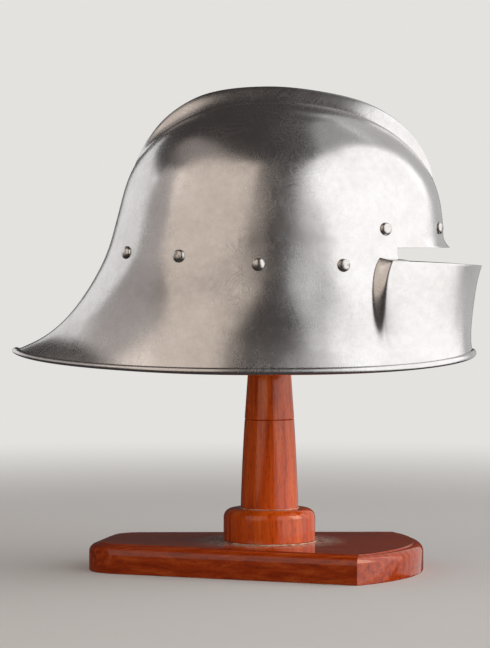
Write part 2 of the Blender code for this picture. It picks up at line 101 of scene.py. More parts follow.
def add_node(
    tree: bpy.types.NodeTree,
    kind: str,
    values: dict[Any, Any] | None = None,
    links: dict[Any, bpy.types.NodeSocket] | None = None,
    stops: Sequence[tuple[float, Any]] | None = None,
    **settings: Any,
) -> bpy.types.Node:
    """Adds one node with its settings, its unlinked values and its links.

    Args:
        tree: The node tree to add to.
        kind: The node's type name.
        values: Input name or index to a constant.
        links: Input name or index to the socket that feeds it.
        stops: For a colour ramp, its positions and linear colours.
        **settings: The node's own properties.

    Returns:
        The new node.
    """
    made = tree.nodes.new(kind)
    for name, value in settings.items():
        setattr(made, name, value)
    for name, value in (values or {}).items():
        made.inputs[name].default_value = value
    for name, source in (links or {}).items():
        tree.links.new(source, made.inputs[name])
    if stops:
        elements = made.color_ramp.elements
        while len(elements) < len(stops):
            elements.new(0.5)
        for element, (position, colour) in zip(elements, stops):
            element.position = position
            element.color = colour
    return made


def per_metre(size_mm: float) -> float:
    """A pattern's scale, as repeats for each metre, from the size of one repeat in millimetres."""
    return 1000 / size_mm


def new_material(name: str) -> tuple[bpy.types.Material, bpy.types.NodeTree, bpy.types.Node]:
    """Makes an empty material.

    Args:
        name: The finish, in a maker's words.

    Returns:
        The material, its node tree and its Principled shader.
    """
    made = bpy.data.materials.new(name)
    made.use_nodes = True
    return made, made.node_tree, made.node_tree.nodes["Principled BSDF"]


# ---- Finishes


class Stroke(NamedTuple):
    """A set of scratches: its direction in degrees, and a shift that sets it apart from the other sets."""

    degrees: float
    shift: float


@dataclass(frozen=True)
class PolishedSteel:
    """Mild steel sheet, raised by hammer, planished and belt polished, then wiped with oil.

    It gives the eye soft-edged reflections, cloudy patches where the polish is duller, a faint grain that
    runs up the skull, and hair-fine scratches that curve with the polisher's strokes. The grain is drawn
    0.55 mm wide and the scratches 0.8 mm, several times coarser than real ones, because finer ones would
    not show.
    """

    name: str = "polished mild steel"
    bright: str = "#DDDBDA"
    dull: str = "#CFCCCB"
    smooth: float = 0.18
    rough: float = 0.25
    cloud_mm: float = 38.0
    stain_mm: float = 7.0
    grain_mm: float = 0.55
    grain_length_mm: float = 34.0
    grain_depth_mm: float = 0.004
    scratch_mm: float = 0.8
    scratch_length_mm: float = 30.0
    scratch_depth_mm: float = 0.008
    scratch_starts: float = 0.56
    scratch_full: float = 0.74
    scratch_haze: float = 0.08
    strokes: tuple[Stroke, ...] = (Stroke(12.0, 0.0), Stroke(58.0, 1.7), Stroke(97.0, 4.1), Stroke(143.0, 7.3))
    swirl_mm: float = 55.0
    swirl_share: float = 1.4
    middle: Vector = field(default_factory=lambda: Vector((0.0, 0.0, 235 * MM)))
    radius_mm: float = 130.0

    def unrolled(
        self, tree: bpy.types.NodeTree, place: bpy.types.NodeSocket
    ) -> tuple[bpy.types.NodeSocket, bpy.types.NodeSocket]:
        """Lays the shell out flat about its crown, so that strokes lie in its surface everywhere.

        Args:
            tree: The material's node tree.
            place: The object coordinates.

        Returns:
            The place on the flat sheet, and the distances round and down from the crown, all in metres.
        """
        radius = self.radius_mm * MM
        aim = add_node(tree, "ShaderNodeVectorMath", {1: self.middle}, {0: place}, operation="SUBTRACT")
        aim = add_node(tree, "ShaderNodeVectorMath", {}, {0: aim.outputs[0]}, operation="NORMALIZE")
        parts = add_node(tree, "ShaderNodeSeparateXYZ", {}, {0: aim.outputs[0]}).outputs
        fall = add_node(tree, "ShaderNodeMath", {}, {0: parts["Z"]}, operation="ARCCOSINE")
        sine = add_node(tree, "ShaderNodeMath", {}, {0: fall.outputs[0]}, operation="SINE")
        smallest = 0.001
        sine = add_node(tree, "ShaderNodeMath", {1: smallest}, {0: sine.outputs[0]}, operation="MAXIMUM")
        share = add_node(tree, "ShaderNodeMath", {}, {0: fall.outputs[0], 1: sine.outputs[0]},
                         operation="DIVIDE")
        share = add_node(tree, "ShaderNodeMath", {1: radius}, {0: share.outputs[0]}, operation="MULTIPLY")
        level = add_node(tree, "ShaderNodeCombineXYZ", {}, {0: parts["X"], 1: parts["Y"]})
        flat = add_node(tree, "ShaderNodeVectorMath", {}, {0: level.outputs[0], "Scale": share.outputs[0]},
                        operation="SCALE")
        turn = add_node(tree, "ShaderNodeMath", {}, {0: parts["Y"], 1: parts["X"]}, operation="ARCTAN2")
        turn = add_node(tree, "ShaderNodeMath", {1: radius}, {0: turn.outputs[0]}, operation="MULTIPLY")
        down = add_node(tree, "ShaderNodeMath", {1: radius}, {0: fall.outputs[0]}, operation="MULTIPLY")
        polar = add_node(tree, "ShaderNodeCombineXYZ", {}, {0: turn.outputs[0], 1: down.outputs[0]})
        return flat.outputs[0], polar.outputs[0]

    def scratches(self, tree: bpy.types.NodeTree, flat: bpy.types.NodeSocket) -> bpy.types.NodeSocket:
        """Draws thin curved scratches in several directions.

        Args:
            tree: The material's node tree.
            flat: The place on the flat sheet.

        Returns:
            1 in a scratch and 0 beside it.
        """
        swirl = add_node(tree, "ShaderNodeTexNoise", {"Scale": per_metre(self.swirl_mm), "Detail": 1.0},
                         {"Vector": flat})
        bend = add_node(tree, "ShaderNodeVectorMath", {1: (0.5, 0.5, 0.5)}, {0: swirl.outputs["Color"]},
                        operation="SUBTRACT")
        bend = add_node(tree, "ShaderNodeVectorMath", {"Scale": self.swirl_mm * MM * self.swirl_share},
                        {0: bend.outputs[0]}, operation="SCALE")
        bent = add_node(tree, "ShaderNodeVectorMath", {}, {0: flat, 1: bend.outputs[0]}, operation="ADD")
        strokes = None
        for stroke in self.strokes:
            lie = add_node(tree, "ShaderNodeMapping", {"Rotation": (0.0, 0.0, math.radians(stroke.degrees))},
                           {"Vector": bent.outputs[0]})
            lie = add_node(tree, "ShaderNodeMapping",
                           {"Location": (stroke.shift, stroke.shift, 0.0),
                            "Scale": (per_metre(self.scratch_length_mm), per_metre(self.scratch_mm), 1.0)},
                           {"Vector": lie.outputs[0]})
            fine = add_node(tree, "ShaderNodeTexNoise", {"Scale": 1.0, "Detail": 0.0},
                            {"Vector": lie.outputs[0]}, noise_dimensions="2D")
            thin = add_node(tree, "ShaderNodeMapRange",
                            {"From Min": self.scratch_starts, "From Max": self.scratch_full},
                            {"Value": fine.outputs["Fac"]})
            if strokes is None:
                strokes = thin.outputs[0]
            else:
                strokes = add_node(tree, "ShaderNodeMath", {}, {0: strokes, 1: thin.outputs[0]},
                                   operation="MAXIMUM").outputs[0]
        return strokes

    def make(self) -> bpy.types.Material:
        """Builds the material.

        Returns:
            The finished material.
        """
        made, tree, shader = new_material(self.name)
        place = add_node(tree, "ShaderNodeTexCoord").outputs["Object"]
        flat, polar = self.unrolled(tree, place)
        cloud = add_node(tree, "ShaderNodeTexNoise",
                         {"Scale": per_metre(self.cloud_mm), "Detail": 4.0, "Roughness": 0.6},
                         {"Vector": place}).outputs["Fac"]
        stain = add_node(tree, "ShaderNodeTexNoise",
                         {"Scale": per_metre(self.stain_mm), "Detail": 3.0, "Roughness": 0.65},
                         {"Vector": place}).outputs["Fac"]
        patch = add_node(tree, "ShaderNodeMix", {"Factor": 0.35}, {"A": cloud, "B": stain}, data_type="FLOAT")
        tone = add_node(tree, "ShaderNodeValToRGB", {}, {0: patch.outputs["Result"]},
                        [(0.34, linear(self.dull)), (0.62, linear(self.bright))])
        tree.links.new(tone.outputs[0], shader.inputs["Base Color"])
        strokes = self.scratches(tree, flat)
        worn = add_node(tree, "ShaderNodeMapRange",
                        {"From Min": 0.38, "From Max": 0.62, "To Min": 0.25, "To Max": 1.0}, {"Value": cloud})
        strokes = add_node(tree, "ShaderNodeMath", {}, {0: strokes, 1: worn.outputs[0]},
                           operation="MULTIPLY").outputs[0]
        lie = add_node(tree, "ShaderNodeMapping",
                       {"Scale": (per_metre(self.grain_mm), per_metre(self.grain_length_mm), 1.0)},
                       {"Vector": polar})
        grain = add_node(tree, "ShaderNodeTexNoise", {"Scale": 1.0, "Detail": 2.0, "Roughness": 0.6},
                         {"Vector": lie.outputs[0]}, noise_dimensions="2D").outputs["Fac"]
        haze = add_node(tree, "ShaderNodeMapRange",
                        {"From Min": 0.35, "From Max": 0.65, "To Min": self.rough, "To Max": self.smooth},
                        {"Value": patch.outputs["Result"]})
        haze = add_node(tree, "ShaderNodeMath", {1: self.scratch_haze}, {0: strokes, 2: haze.outputs[0]},
                        operation="MULTIPLY_ADD")
        tree.links.new(haze.outputs[0], shader.inputs["Roughness"])
        brushed = add_node(tree, "ShaderNodeBump", {"Strength": 1.0, "Distance": self.grain_depth_mm * MM},
                           {"Height": grain})
        scored = add_node(tree, "ShaderNodeBump", {"Strength": 1.0, "Distance": self.scratch_depth_mm * MM},
                          {"Height": strokes, "Normal": brushed.outputs[0]}, invert=True)
        tree.links.new(scored.outputs[0], shader.inputs["Normal"])
        shader.inputs["Metallic"].default_value = 1.0
        return made


@dataclass(frozen=True)
class ForgedInside:
    """The inside of the shell: steel left from the hammer and the fire, wiped with oil.

    It gives a darker, duller grey with a mottled scale.
    """

    name: str = "oiled steel from the hammer"
    scale_dark: str = "#6E6A68"
    bare: str = "#A29D99"
    rough: float = 0.5
    smooth: float = 0.34
    mottle_mm: float = 30.0
    hammer_mm: float = 14.0
    hammer_depth_mm: float = 0.25

    def make(self) -> bpy.types.Material:
        """Builds the material.

        Returns:
            The finished material.
        """
        made, tree, shader = new_material(self.name)
        place = add_node(tree, "ShaderNodeTexCoord").outputs["Object"]
        mottle = add_node(tree, "ShaderNodeTexNoise", {"Scale": per_metre(self.mottle_mm), "Detail": 5.0},
                          {"Vector": place})
        colour = add_node(tree, "ShaderNodeValToRGB", {}, {0: mottle.outputs["Fac"]},
                          [(0.35, linear(self.scale_dark)), (0.65, linear(self.bare))])
        tree.links.new(colour.outputs[0], shader.inputs["Base Color"])
        dull = add_node(tree, "ShaderNodeMapRange",
                        {"From Min": 0.3, "From Max": 0.7, "To Min": self.rough, "To Max": self.smooth},
                        {"Value": mottle.outputs["Fac"]})
        tree.links.new(dull.outputs[0], shader.inputs["Roughness"])
        blows = add_node(tree, "ShaderNodeTexVoronoi", {"Scale": per_metre(self.hammer_mm)},
                         {"Vector": place}, feature="SMOOTH_F1")
        bump = add_node(tree, "ShaderNodeBump", {"Strength": 0.7, "Distance": self.hammer_depth_mm * MM},
                        {"Height": blows.outputs["Distance"]})
        tree.links.new(bump.outputs[0], shader.inputs["Normal"])
        shader.inputs["Metallic"].default_value = 1.0
        return made


@dataclass(frozen=True)
class RivetSteel:
    """Turned steel rivets, their heads polished with the shell.

    It gives a bright smooth grey with small duller patches, where dirt and oil were left.
    """

    name: str = "polished rivet steel"
    bright: str = "#D2CECA"
    dull: str = "#8F8A86"
    smooth: float = 0.22
    rough: float = 0.38
    grime_mm: float = 4.0

    def make(self) -> bpy.types.Material:
        """Builds the material.

        Returns:
            The finished material.
        """
        made, tree, shader = new_material(self.name)
        place = add_node(tree, "ShaderNodeTexCoord").outputs["Object"]
        grime = add_node(tree, "ShaderNodeTexNoise", {"Scale": per_metre(self.grime_mm), "Detail": 3.0},
                         {"Vector": place})
        colour = add_node(tree, "ShaderNodeValToRGB", {}, {0: grime.outputs["Fac"]},
                          [(0.3, linear(self.dull)), (0.5, linear(self.bright))])
        tree.links.new(colour.outputs[0], shader.inputs["Base Color"])
        haze = add_node(tree, "ShaderNodeMapRange",
                        {"From Min": 0.3, "From Max": 0.6, "To Min": self.rough, "To Max": self.smooth},
                        {"Value": grime.outputs["Fac"]})
        tree.links.new(haze.outputs[0], shader.inputs["Roughness"])
        shader.inputs["Metallic"].default_value = 1.0
        return made


@dataclass(frozen=True)
class VarnishedWood:
    """Close-grained hardwood stained red brown, under several coats of gloss varnish.

    It gives long soft streaks of darker and lighter grain, short dark pores, and a clear mirror-like coat
    over them. Pale dust lies round the foot of whatever stands in it. The pores are drawn 0.55 mm wide,
    coarser than real ones, because finer ones would not show.
    """

    name: str = "stained and varnished hardwood"
    dark: str = "#9C360A"
    middle: str = "#CC5012"
    light: str = "#DC6C24"
    pore: str = "#4E1404"
    dust: str = "#E6D6C8"
    grain: Euler = field(default_factory=lambda: Euler((0.0, 0.0, 0.0)))
    streak_mm: float = 5.0
    streak_length_mm: float = 130.0
    pore_mm: float = 0.55
    pore_length_mm: float = 6.0
    warp_mm: float = 60.0
    wander: float = 8.0 * MM
    film_mm: float = 16.0
    film_depth: float = 0.05 * MM
    dust_mm: float = 6.0
    foot_radius: float = 0.0
    foot_width: float = 3.0 * MM
    foot_height: float = 0.0

    def make(self) -> bpy.types.Material:
        """Builds the material. The grain runs along X before it is turned.

        Returns:
            The finished material.
        """
        made, tree, shader = new_material(self.name)
        place = add_node(tree, "ShaderNodeTexCoord").outputs["Object"]
        along = add_node(tree, "ShaderNodeMapping", {"Rotation": self.grain}, {"Vector": place},
                         vector_type="TEXTURE")
        warp = add_node(tree, "ShaderNodeTexNoise", {"Scale": per_metre(self.warp_mm), "Detail": 1.0},
                        {"Vector": along.outputs[0]})
        wander = add_node(tree, "ShaderNodeVectorMath", {1: (0.5, 0.5, 0.5)}, {0: warp.outputs["Color"]},
                          operation="SUBTRACT")
        wander = add_node(tree, "ShaderNodeVectorMath", {"Scale": self.wander}, {0: wander.outputs[0]},
                          operation="SCALE")
        lie = add_node(tree, "ShaderNodeVectorMath", {}, {0: along.outputs[0], 1: wander.outputs[0]},
                       operation="ADD")
        across = per_metre(self.streak_mm)
        bands = add_node(tree, "ShaderNodeMapping",
                         {"Scale": (per_metre(self.streak_length_mm), across, across)},
                         {"Vector": lie.outputs[0]})
        streak = add_node(tree, "ShaderNodeTexNoise", {"Scale": 1.0, "Detail": 5.0, "Roughness": 0.62},
                          {"Vector": bands.outputs[0]})
        figure = add_node(tree, "ShaderNodeValToRGB", {}, {0: streak.outputs["Fac"]},
                          [(0.28, linear(self.dark)), (0.5, linear(self.middle)), (0.74, linear(self.light))])
        across = per_metre(self.pore_mm)
        cells = add_node(tree, "ShaderNodeMapping", {"Scale": (per_metre(self.pore_length_mm), across, across)},
                         {"Vector": along.outputs[0]})
        pores = add_node(tree, "ShaderNodeTexNoise", {"Scale": 1.0, "Detail": 0.0},
                         {"Vector": cells.outputs[0]})
        pored = add_node(tree, "ShaderNodeMapRange", {"From Min": 0.62, "From Max": 0.76, "To Max": 0.45},
                         {"Value": pores.outputs["Fac"]})
        colour = add_node(tree, "ShaderNodeMix", {"B": linear(self.pore)}, {"A": figure.outputs[0]},
                          data_type="RGBA")
        tree.links.new(pored.outputs[0], colour.inputs["Factor"])
        result = colour.outputs["Result"]
        if self.foot_radius:
            result = self.dusty(tree, place, result)
        tree.links.new(result, shader.inputs["Base Color"])
        bump = add_node(tree, "ShaderNodeBump", {"Strength": 0.25, "Distance": self.film_depth},
                        {"Height": streak.outputs["Fac"]})
        tree.links.new(bump.outputs[0], shader.inputs["Normal"])
        shader.inputs["Roughness"].default_value = 0.42
        shader.inputs["Specular IOR Level"].default_value = 0.0
        shader.inputs["Coat Weight"].default_value = 1.0
        shader.inputs["Coat Roughness"].default_value = 0.10
        shader.inputs["Coat IOR"].default_value = 1.52
        ripple = add_node(tree, "ShaderNodeTexNoise", {"Scale": per_metre(self.film_mm), "Detail": 2.0},
                          {"Vector": place})
        film = add_node(tree, "ShaderNodeBump", {"Strength": 0.25, "Distance": self.film_depth},
                        {"Height": ripple.outputs["Fac"]})
        tree.links.new(film.outputs[0], shader.inputs["Coat Normal"])
        return made

    def dusty(
        self, tree: bpy.types.NodeTree, place: bpy.types.NodeSocket, colour: bpy.types.NodeSocket
    ) -> bpy.types.NodeSocket:
        """Adds the pale dust round the foot of the piece that stands in this one.

        Args:
            tree: The material's node tree.
            place: The object coordinates.
            colour: The wood's colour.

        Returns:
            The colour with the dust mixed in.
        """
        flat = add_node(tree, "ShaderNodeVectorMath", {1: (1.0, 1.0, 0.0)}, {0: place}, operation="MULTIPLY")
        reach = add_node(tree, "ShaderNodeVectorMath", {}, {0: flat.outputs[0]}, operation="LENGTH")
        near = add_node(tree, "ShaderNodeMapRange",
                        {"From Min": self.foot_radius, "From Max": self.foot_radius + self.foot_width,
                         "To Min": 1.0, "To Max": 0.0}, {"Value": reach.outputs["Value"]})
        split = add_node(tree, "ShaderNodeSeparateXYZ", {}, {0: place})
        level = add_node(tree, "ShaderNodeMath", {1: self.foot_height}, {0: split.outputs["Z"]},
                         operation="GREATER_THAN")
        patchy = add_node(tree, "ShaderNodeTexNoise",
                          {"Scale": per_metre(self.dust_mm), "Detail": 6.0, "Roughness": 0.7},
                          {"Vector": place})
        worn = add_node(tree, "ShaderNodeMapRange", {"From Min": 0.42, "From Max": 0.54},
                        {"Value": patchy.outputs["Fac"]})
        share = add_node(tree, "ShaderNodeMath", {}, {0: near.outputs[0], 1: worn.outputs[0]},
                         operation="MULTIPLY")
        share = add_node(tree, "ShaderNodeMath", {}, {0: share.outputs[0], 1: level.outputs[0]},
                         operation="MULTIPLY")
        mixed = add_node(tree, "ShaderNodeMix", {"B": linear(self.dust)}, {"A": colour}, data_type="RGBA")
        tree.links.new(share.outputs[0], mixed.inputs["Factor"])
        return mixed.outputs["Result"]


@dataclass(frozen=True)
class DriedGlue:
    """Dried wood glue with dust in it.

    It gives a thin pale line, matt, lumpy and a little yellow.
    """

    name: str = "dried glue"
    pale: str = "#F0DCC6"
    brown: str = "#CFA07A"
    lump_mm: float = 6.0
    lump_depth: float = 0.2 * MM

    def make(self) -> bpy.types.Material:
        """Builds the material.

        Returns:
            The finished material.
        """
        made, tree, shader = new_material(self.name)
        place = add_node(tree, "ShaderNodeTexCoord").outputs["Object"]
        patchy = add_node(tree, "ShaderNodeTexNoise", {"Scale": per_metre(self.lump_mm), "Detail": 4.0},
                          {"Vector": place})
        colour = add_node(tree, "ShaderNodeValToRGB", {}, {0: patchy.outputs["Fac"]},
                          [(0.38, linear(self.brown)), (0.60, linear(self.pale))])
        tree.links.new(colour.outputs[0], shader.inputs["Base Color"])
        lumps = add_node(tree, "ShaderNodeBump", {"Strength": 0.4, "Distance": self.lump_depth},
                         {"Height": patchy.outputs["Fac"]})
        tree.links.new(lumps.outputs[0], shader.inputs["Normal"])
        shader.inputs["Roughness"].default_value = 0.6
        return made


@dataclass(frozen=True)
class StudioPaper:
    """Seamless pale paper, laid on the table and far beyond it.

    It gives an even matt surface, which glows as pale as the room where no soft box reaches it.
    """

    name: str = "pale background paper"
    tone: str = "#EBE9E6"
    far_tone: str = "#E4E2DF"
    unlit: str = "#000000"
    tooth_mm: float = 2.5
    tooth_depth: float = 0.2 * MM
    lit_to: float = 0.6
    glows_from: float = 1.7

    def make(self) -> bpy.types.Material:
        """Builds the material.

        Returns:
            The finished material.
        """
        made, tree, shader = new_material(self.name)
        place = add_node(tree, "ShaderNodeTexCoord").outputs["Object"]
        tooth = add_node(tree, "ShaderNodeTexNoise", {"Scale": per_metre(self.tooth_mm), "Detail": 2.0},
                         {"Vector": place})
        bump = add_node(tree, "ShaderNodeBump", {"Strength": 0.1, "Distance": self.tooth_depth},
                        {"Height": tooth.outputs["Fac"]})
        tree.links.new(bump.outputs[0], shader.inputs["Normal"])
        reach = add_node(tree, "ShaderNodeVectorMath", {}, {0: place}, operation="LENGTH").outputs["Value"]
        far = add_node(tree, "ShaderNodeMapRange", {"From Min": self.lit_to, "From Max": self.glows_from},
                       {"Value": reach}, interpolation_type="SMOOTHSTEP").outputs[0]
        tone = add_node(tree, "ShaderNodeMix", {"A": linear(self.tone), "B": linear(self.unlit)},
                        data_type="RGBA")
        tree.links.new(far, tone.inputs["Factor"])
        tree.links.new(tone.outputs["Result"], shader.inputs["Base Color"])
        tree.links.new(far, shader.inputs["Emission Strength"])
        shader.inputs["Emission Color"].default_value = linear(self.far_tone)
        shader.inputs["Specular IOR Level"].default_value = 0.0
        shader.inputs["Roughness"].default_value = 0.9
        return made


# ---- Modelling helpers


def only(piece: bpy.types.Object) -> None:
    """Makes one object the only selected and the active one.

    Args:
        piece: The object.
    """
    bpy.ops.object.select_all(action="DESELECT")
    piece.select_set(True)
    bpy.context.view_layer.objects.active = piece


def named(name: str) -> bpy.types.Object:
    """Names the object that the last operator added, and its mesh.

    Args:
        name: The piece's name.

    Returns:
        The object.
    """
    made = bpy.context.object
    made.name = name
    made.data.name = name
    return made


def editing(piece: bpy.types.Object, work: Callable[[bmesh.types.BMesh], None]) -> None:
    """Runs some edit-mode work on a piece and returns to object mode.

    Args:
        piece: The mesh object.
        work: Called with the piece's edit mesh.
    """
    only(piece)
    bpy.ops.object.mode_set(mode="EDIT")
    work(bmesh.from_edit_mesh(piece.data))
    bpy.ops.object.mode_set(mode="OBJECT")


def select(bm: bmesh.types.BMesh, elements: Iterable[Any], wanted: Callable[[Any], bool]) -> int:
    """Selects only those elements of an edit mesh that are wanted.

    Args:
        bm: The edit mesh.
        elements: Its vertices, edges or faces.
        wanted: The test.

    Returns:
        How many are selected.
    """
    bpy.ops.mesh.select_all(action="DESELECT")
    bm.verts.ensure_lookup_table()
    count = 0
    for element in elements:
        if wanted(element):
            element.select_set(True)
            count += 1
    bm.select_flush_mode()
    return count


def apply_modifier(piece: bpy.types.Object, kind: str, **settings: Any) -> None:
    """Adds a modifier with its settings and applies it.

    Args:
        piece: The mesh object.
        kind: The modifier's type.
        **settings: Its properties.
    """
    only(piece)
    made = piece.modifiers.new(kind.lower(), kind)
    for name, value in settings.items():
        setattr(made, name, value)
    bpy.ops.object.modifier_apply(modifier=made.name)


def smooth(piece: bpy.types.Object, degrees: float = 35.0) -> None:
    """Shades a piece smooth, apart from edges sharper than an angle."""
    only(piece)
    bpy.ops.object.shade_smooth_by_angle(angle=math.radians(degrees))


def face_outwards(piece: bpy.types.Object) -> None:
    """Merges doubles and turns all faces of a closed piece outwards.

    Args:
        piece: The mesh object.
    """

    def work(_: bmesh.types.BMesh) -> None:
        """Merges and turns, with operators that need no edit mesh of their own."""
        bpy.ops.mesh.select_all(action="SELECT")
        bpy.ops.mesh.remove_doubles(threshold=0.002 * MM)
        bpy.ops.mesh.normals_make_consistent(inside=False)

    editing(piece, work)


class Ring(NamedTuple):
    """A radius and a height of a turned outline."""

    radius: float
    height: float


def turned(name: str, outline: Sequence[Ring], sides: int) -> bpy.types.Object:
    """Turns a solid about the vertical axis: a disc, extruded and resized from ring to ring.

    Args:
        name: The piece's name.
        outline: Its rings, from the first end face to the last.
        sides: Its number of sides.

    Returns:
        The closed mesh object.
    """
    first = outline[0]
    bpy.ops.object.select_all(action="DESELECT")
    bpy.ops.mesh.primitive_circle_add(vertices=sides, radius=first.radius, fill_type="NGON",
                                      location=(0.0, 0.0, first.height))
    made = named(name)
    bpy.ops.object.transform_apply(location=True, rotation=True, scale=True)

    def work(_: bmesh.types.BMesh) -> None:
        """Grows the disc along the outline, with operators that need no edit mesh of their own."""
        bpy.ops.mesh.select_all(action="SELECT")
        last = first
        for ring in outline[1:]:
            bpy.ops.mesh.extrude_region_move(
                TRANSFORM_OT_translate={"value": (0.0, 0.0, ring.height - last.height)})
            share = ring.radius / last.radius
            bpy.ops.transform.resize(value=(share, share, 1.0), center_override=(0.0, 0.0, 0.0))
            last = ring

    editing(made, work)
    face_outwards(made)
    return made


def arc(
    centre: tuple[float, float], radius: float, start: float, end: float, steps: int
) -> list[tuple[float, float]]:
    """Points along an arc.

    Args:
        centre: Its middle.
        radius: Its radius.
        start: Its first angle in degrees, from the outward direction.
        end: Its last angle in degrees.
        steps: How many stretches it has.

    Returns:
        The points, both ends included.
    """
    turns = [math.radians(start + (end - start) * i / steps) for i in range(steps + 1)]
    return [(centre[0] + radius * math.cos(t), centre[1] + radius * math.sin(t)) for t in turns]


def finish_piece(
    piece: bpy.types.Object, slot: Slot, materials: Sequence[bpy.types.Material], *nodes: str
) -> None:
    """Dresses a piece, makes it ride on the part and stand for its solids.

    Args:
        piece: The mesh object.
        slot: The record's slot; not used.
        materials: Its materials in order.
        *nodes: The solids that it stands for.
    """
    for material in materials:
        piece.data.materials.append(material)
    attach(piece, "root")
    if nodes:
        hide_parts(*nodes)
    LOG.info("%s: %d faces, stands for %s", piece.name, len(piece.data.polygons),
             ", ".join(nodes) or "itself")


# ---- The form of the helmet


class Spline:
    """A cubic through given values, with smooth curvature."""

    def __init__(self, knots: Sequence[float], values: Sequence[float], level_start: bool = False) -> None:
        """Solves for the bends at the knots.

        Args:
            knots: Rising places.
            values: The value at each.
            level_start: Whether it starts level.
        """
        self.knots = np.array(knots, float)
        self.values = np.array(values, float)
        count = len(self.knots)
        gaps = np.diff(self.knots)
        slopes = np.diff(self.values) / gaps
        matrix = np.eye(count)
        right = np.zeros(count)
        for i in range(1, count - 1):
            matrix[i, i - 1:i + 2] = gaps[i - 1], 2 * (gaps[i - 1] + gaps[i]), gaps[i]
            right[i] = 6 * (slopes[i] - slopes[i - 1])
        if level_start:
            matrix[0, :2] = 2 * gaps[0], gaps[0]
            right[0] = 6 * slopes[0]
        self.bends = np.linalg.solve(matrix, right)

    def at(self, knot: float) -> float:
        """The value at a place.

        Args:
            knot: The place, between the first and the last knot.

        Returns:
            The value there.
        """
        i = int(np.clip(np.searchsorted(self.knots, knot) - 1, 0, len(self.knots) - 2))
        gap = self.knots[i + 1] - self.knots[i]
        before = (self.knots[i + 1] - knot) / gap
        after = 1 - before
        bend = (before ** 3 - before) * self.bends[i] + (after ** 3 - after) * self.bends[i + 1]
        return float(before * self.values[i] + after * self.values[i + 1] + bend * gap * gap / 6)


def smooth_step(value: float, start: float, end: float) -> float:
    """0 before start, 1 after end, with a soft turn at both."""
    share = min(max((value - start) / (end - start), 0.0), 1.0)
    return share * share * (3 - 2 * share)


def bent_step(value: float, start: float, end: float, rounding: float = 0.42) -> float:
    """A step with straight flanks.

    Args:
        value: Where it is read.
        start: Where it leaves 0.
        end: Where it reaches 1.
        rounding: The share of the way over which each of its ends is rounded.

    Returns:
        0 before start, 1 after end, and between them the share climbed.
    """
    share = min(max((value - start) / (end - start), 0.0), 1.0)
    slope = 1 / (1 - rounding)
    if share < rounding:
        return slope * share * share / (2 * rounding)
    if share > 1 - rounding:
        return 1 - slope * (1 - share) ** 2 / (2 * rounding)
    return slope * (share - rounding / 2)


class Level(NamedTuple):
    """A share of the skull's height above the rim, and shares of its front, side and back reach."""

    height: float
    front: float
    side: float
    back: float


class Dent(NamedTuple):
    """A place where the sheet stands out or in: X and Z of its middle, its spread and its depth, in mm."""

    ahead: float
    up: float
    spread: float
    depth: float


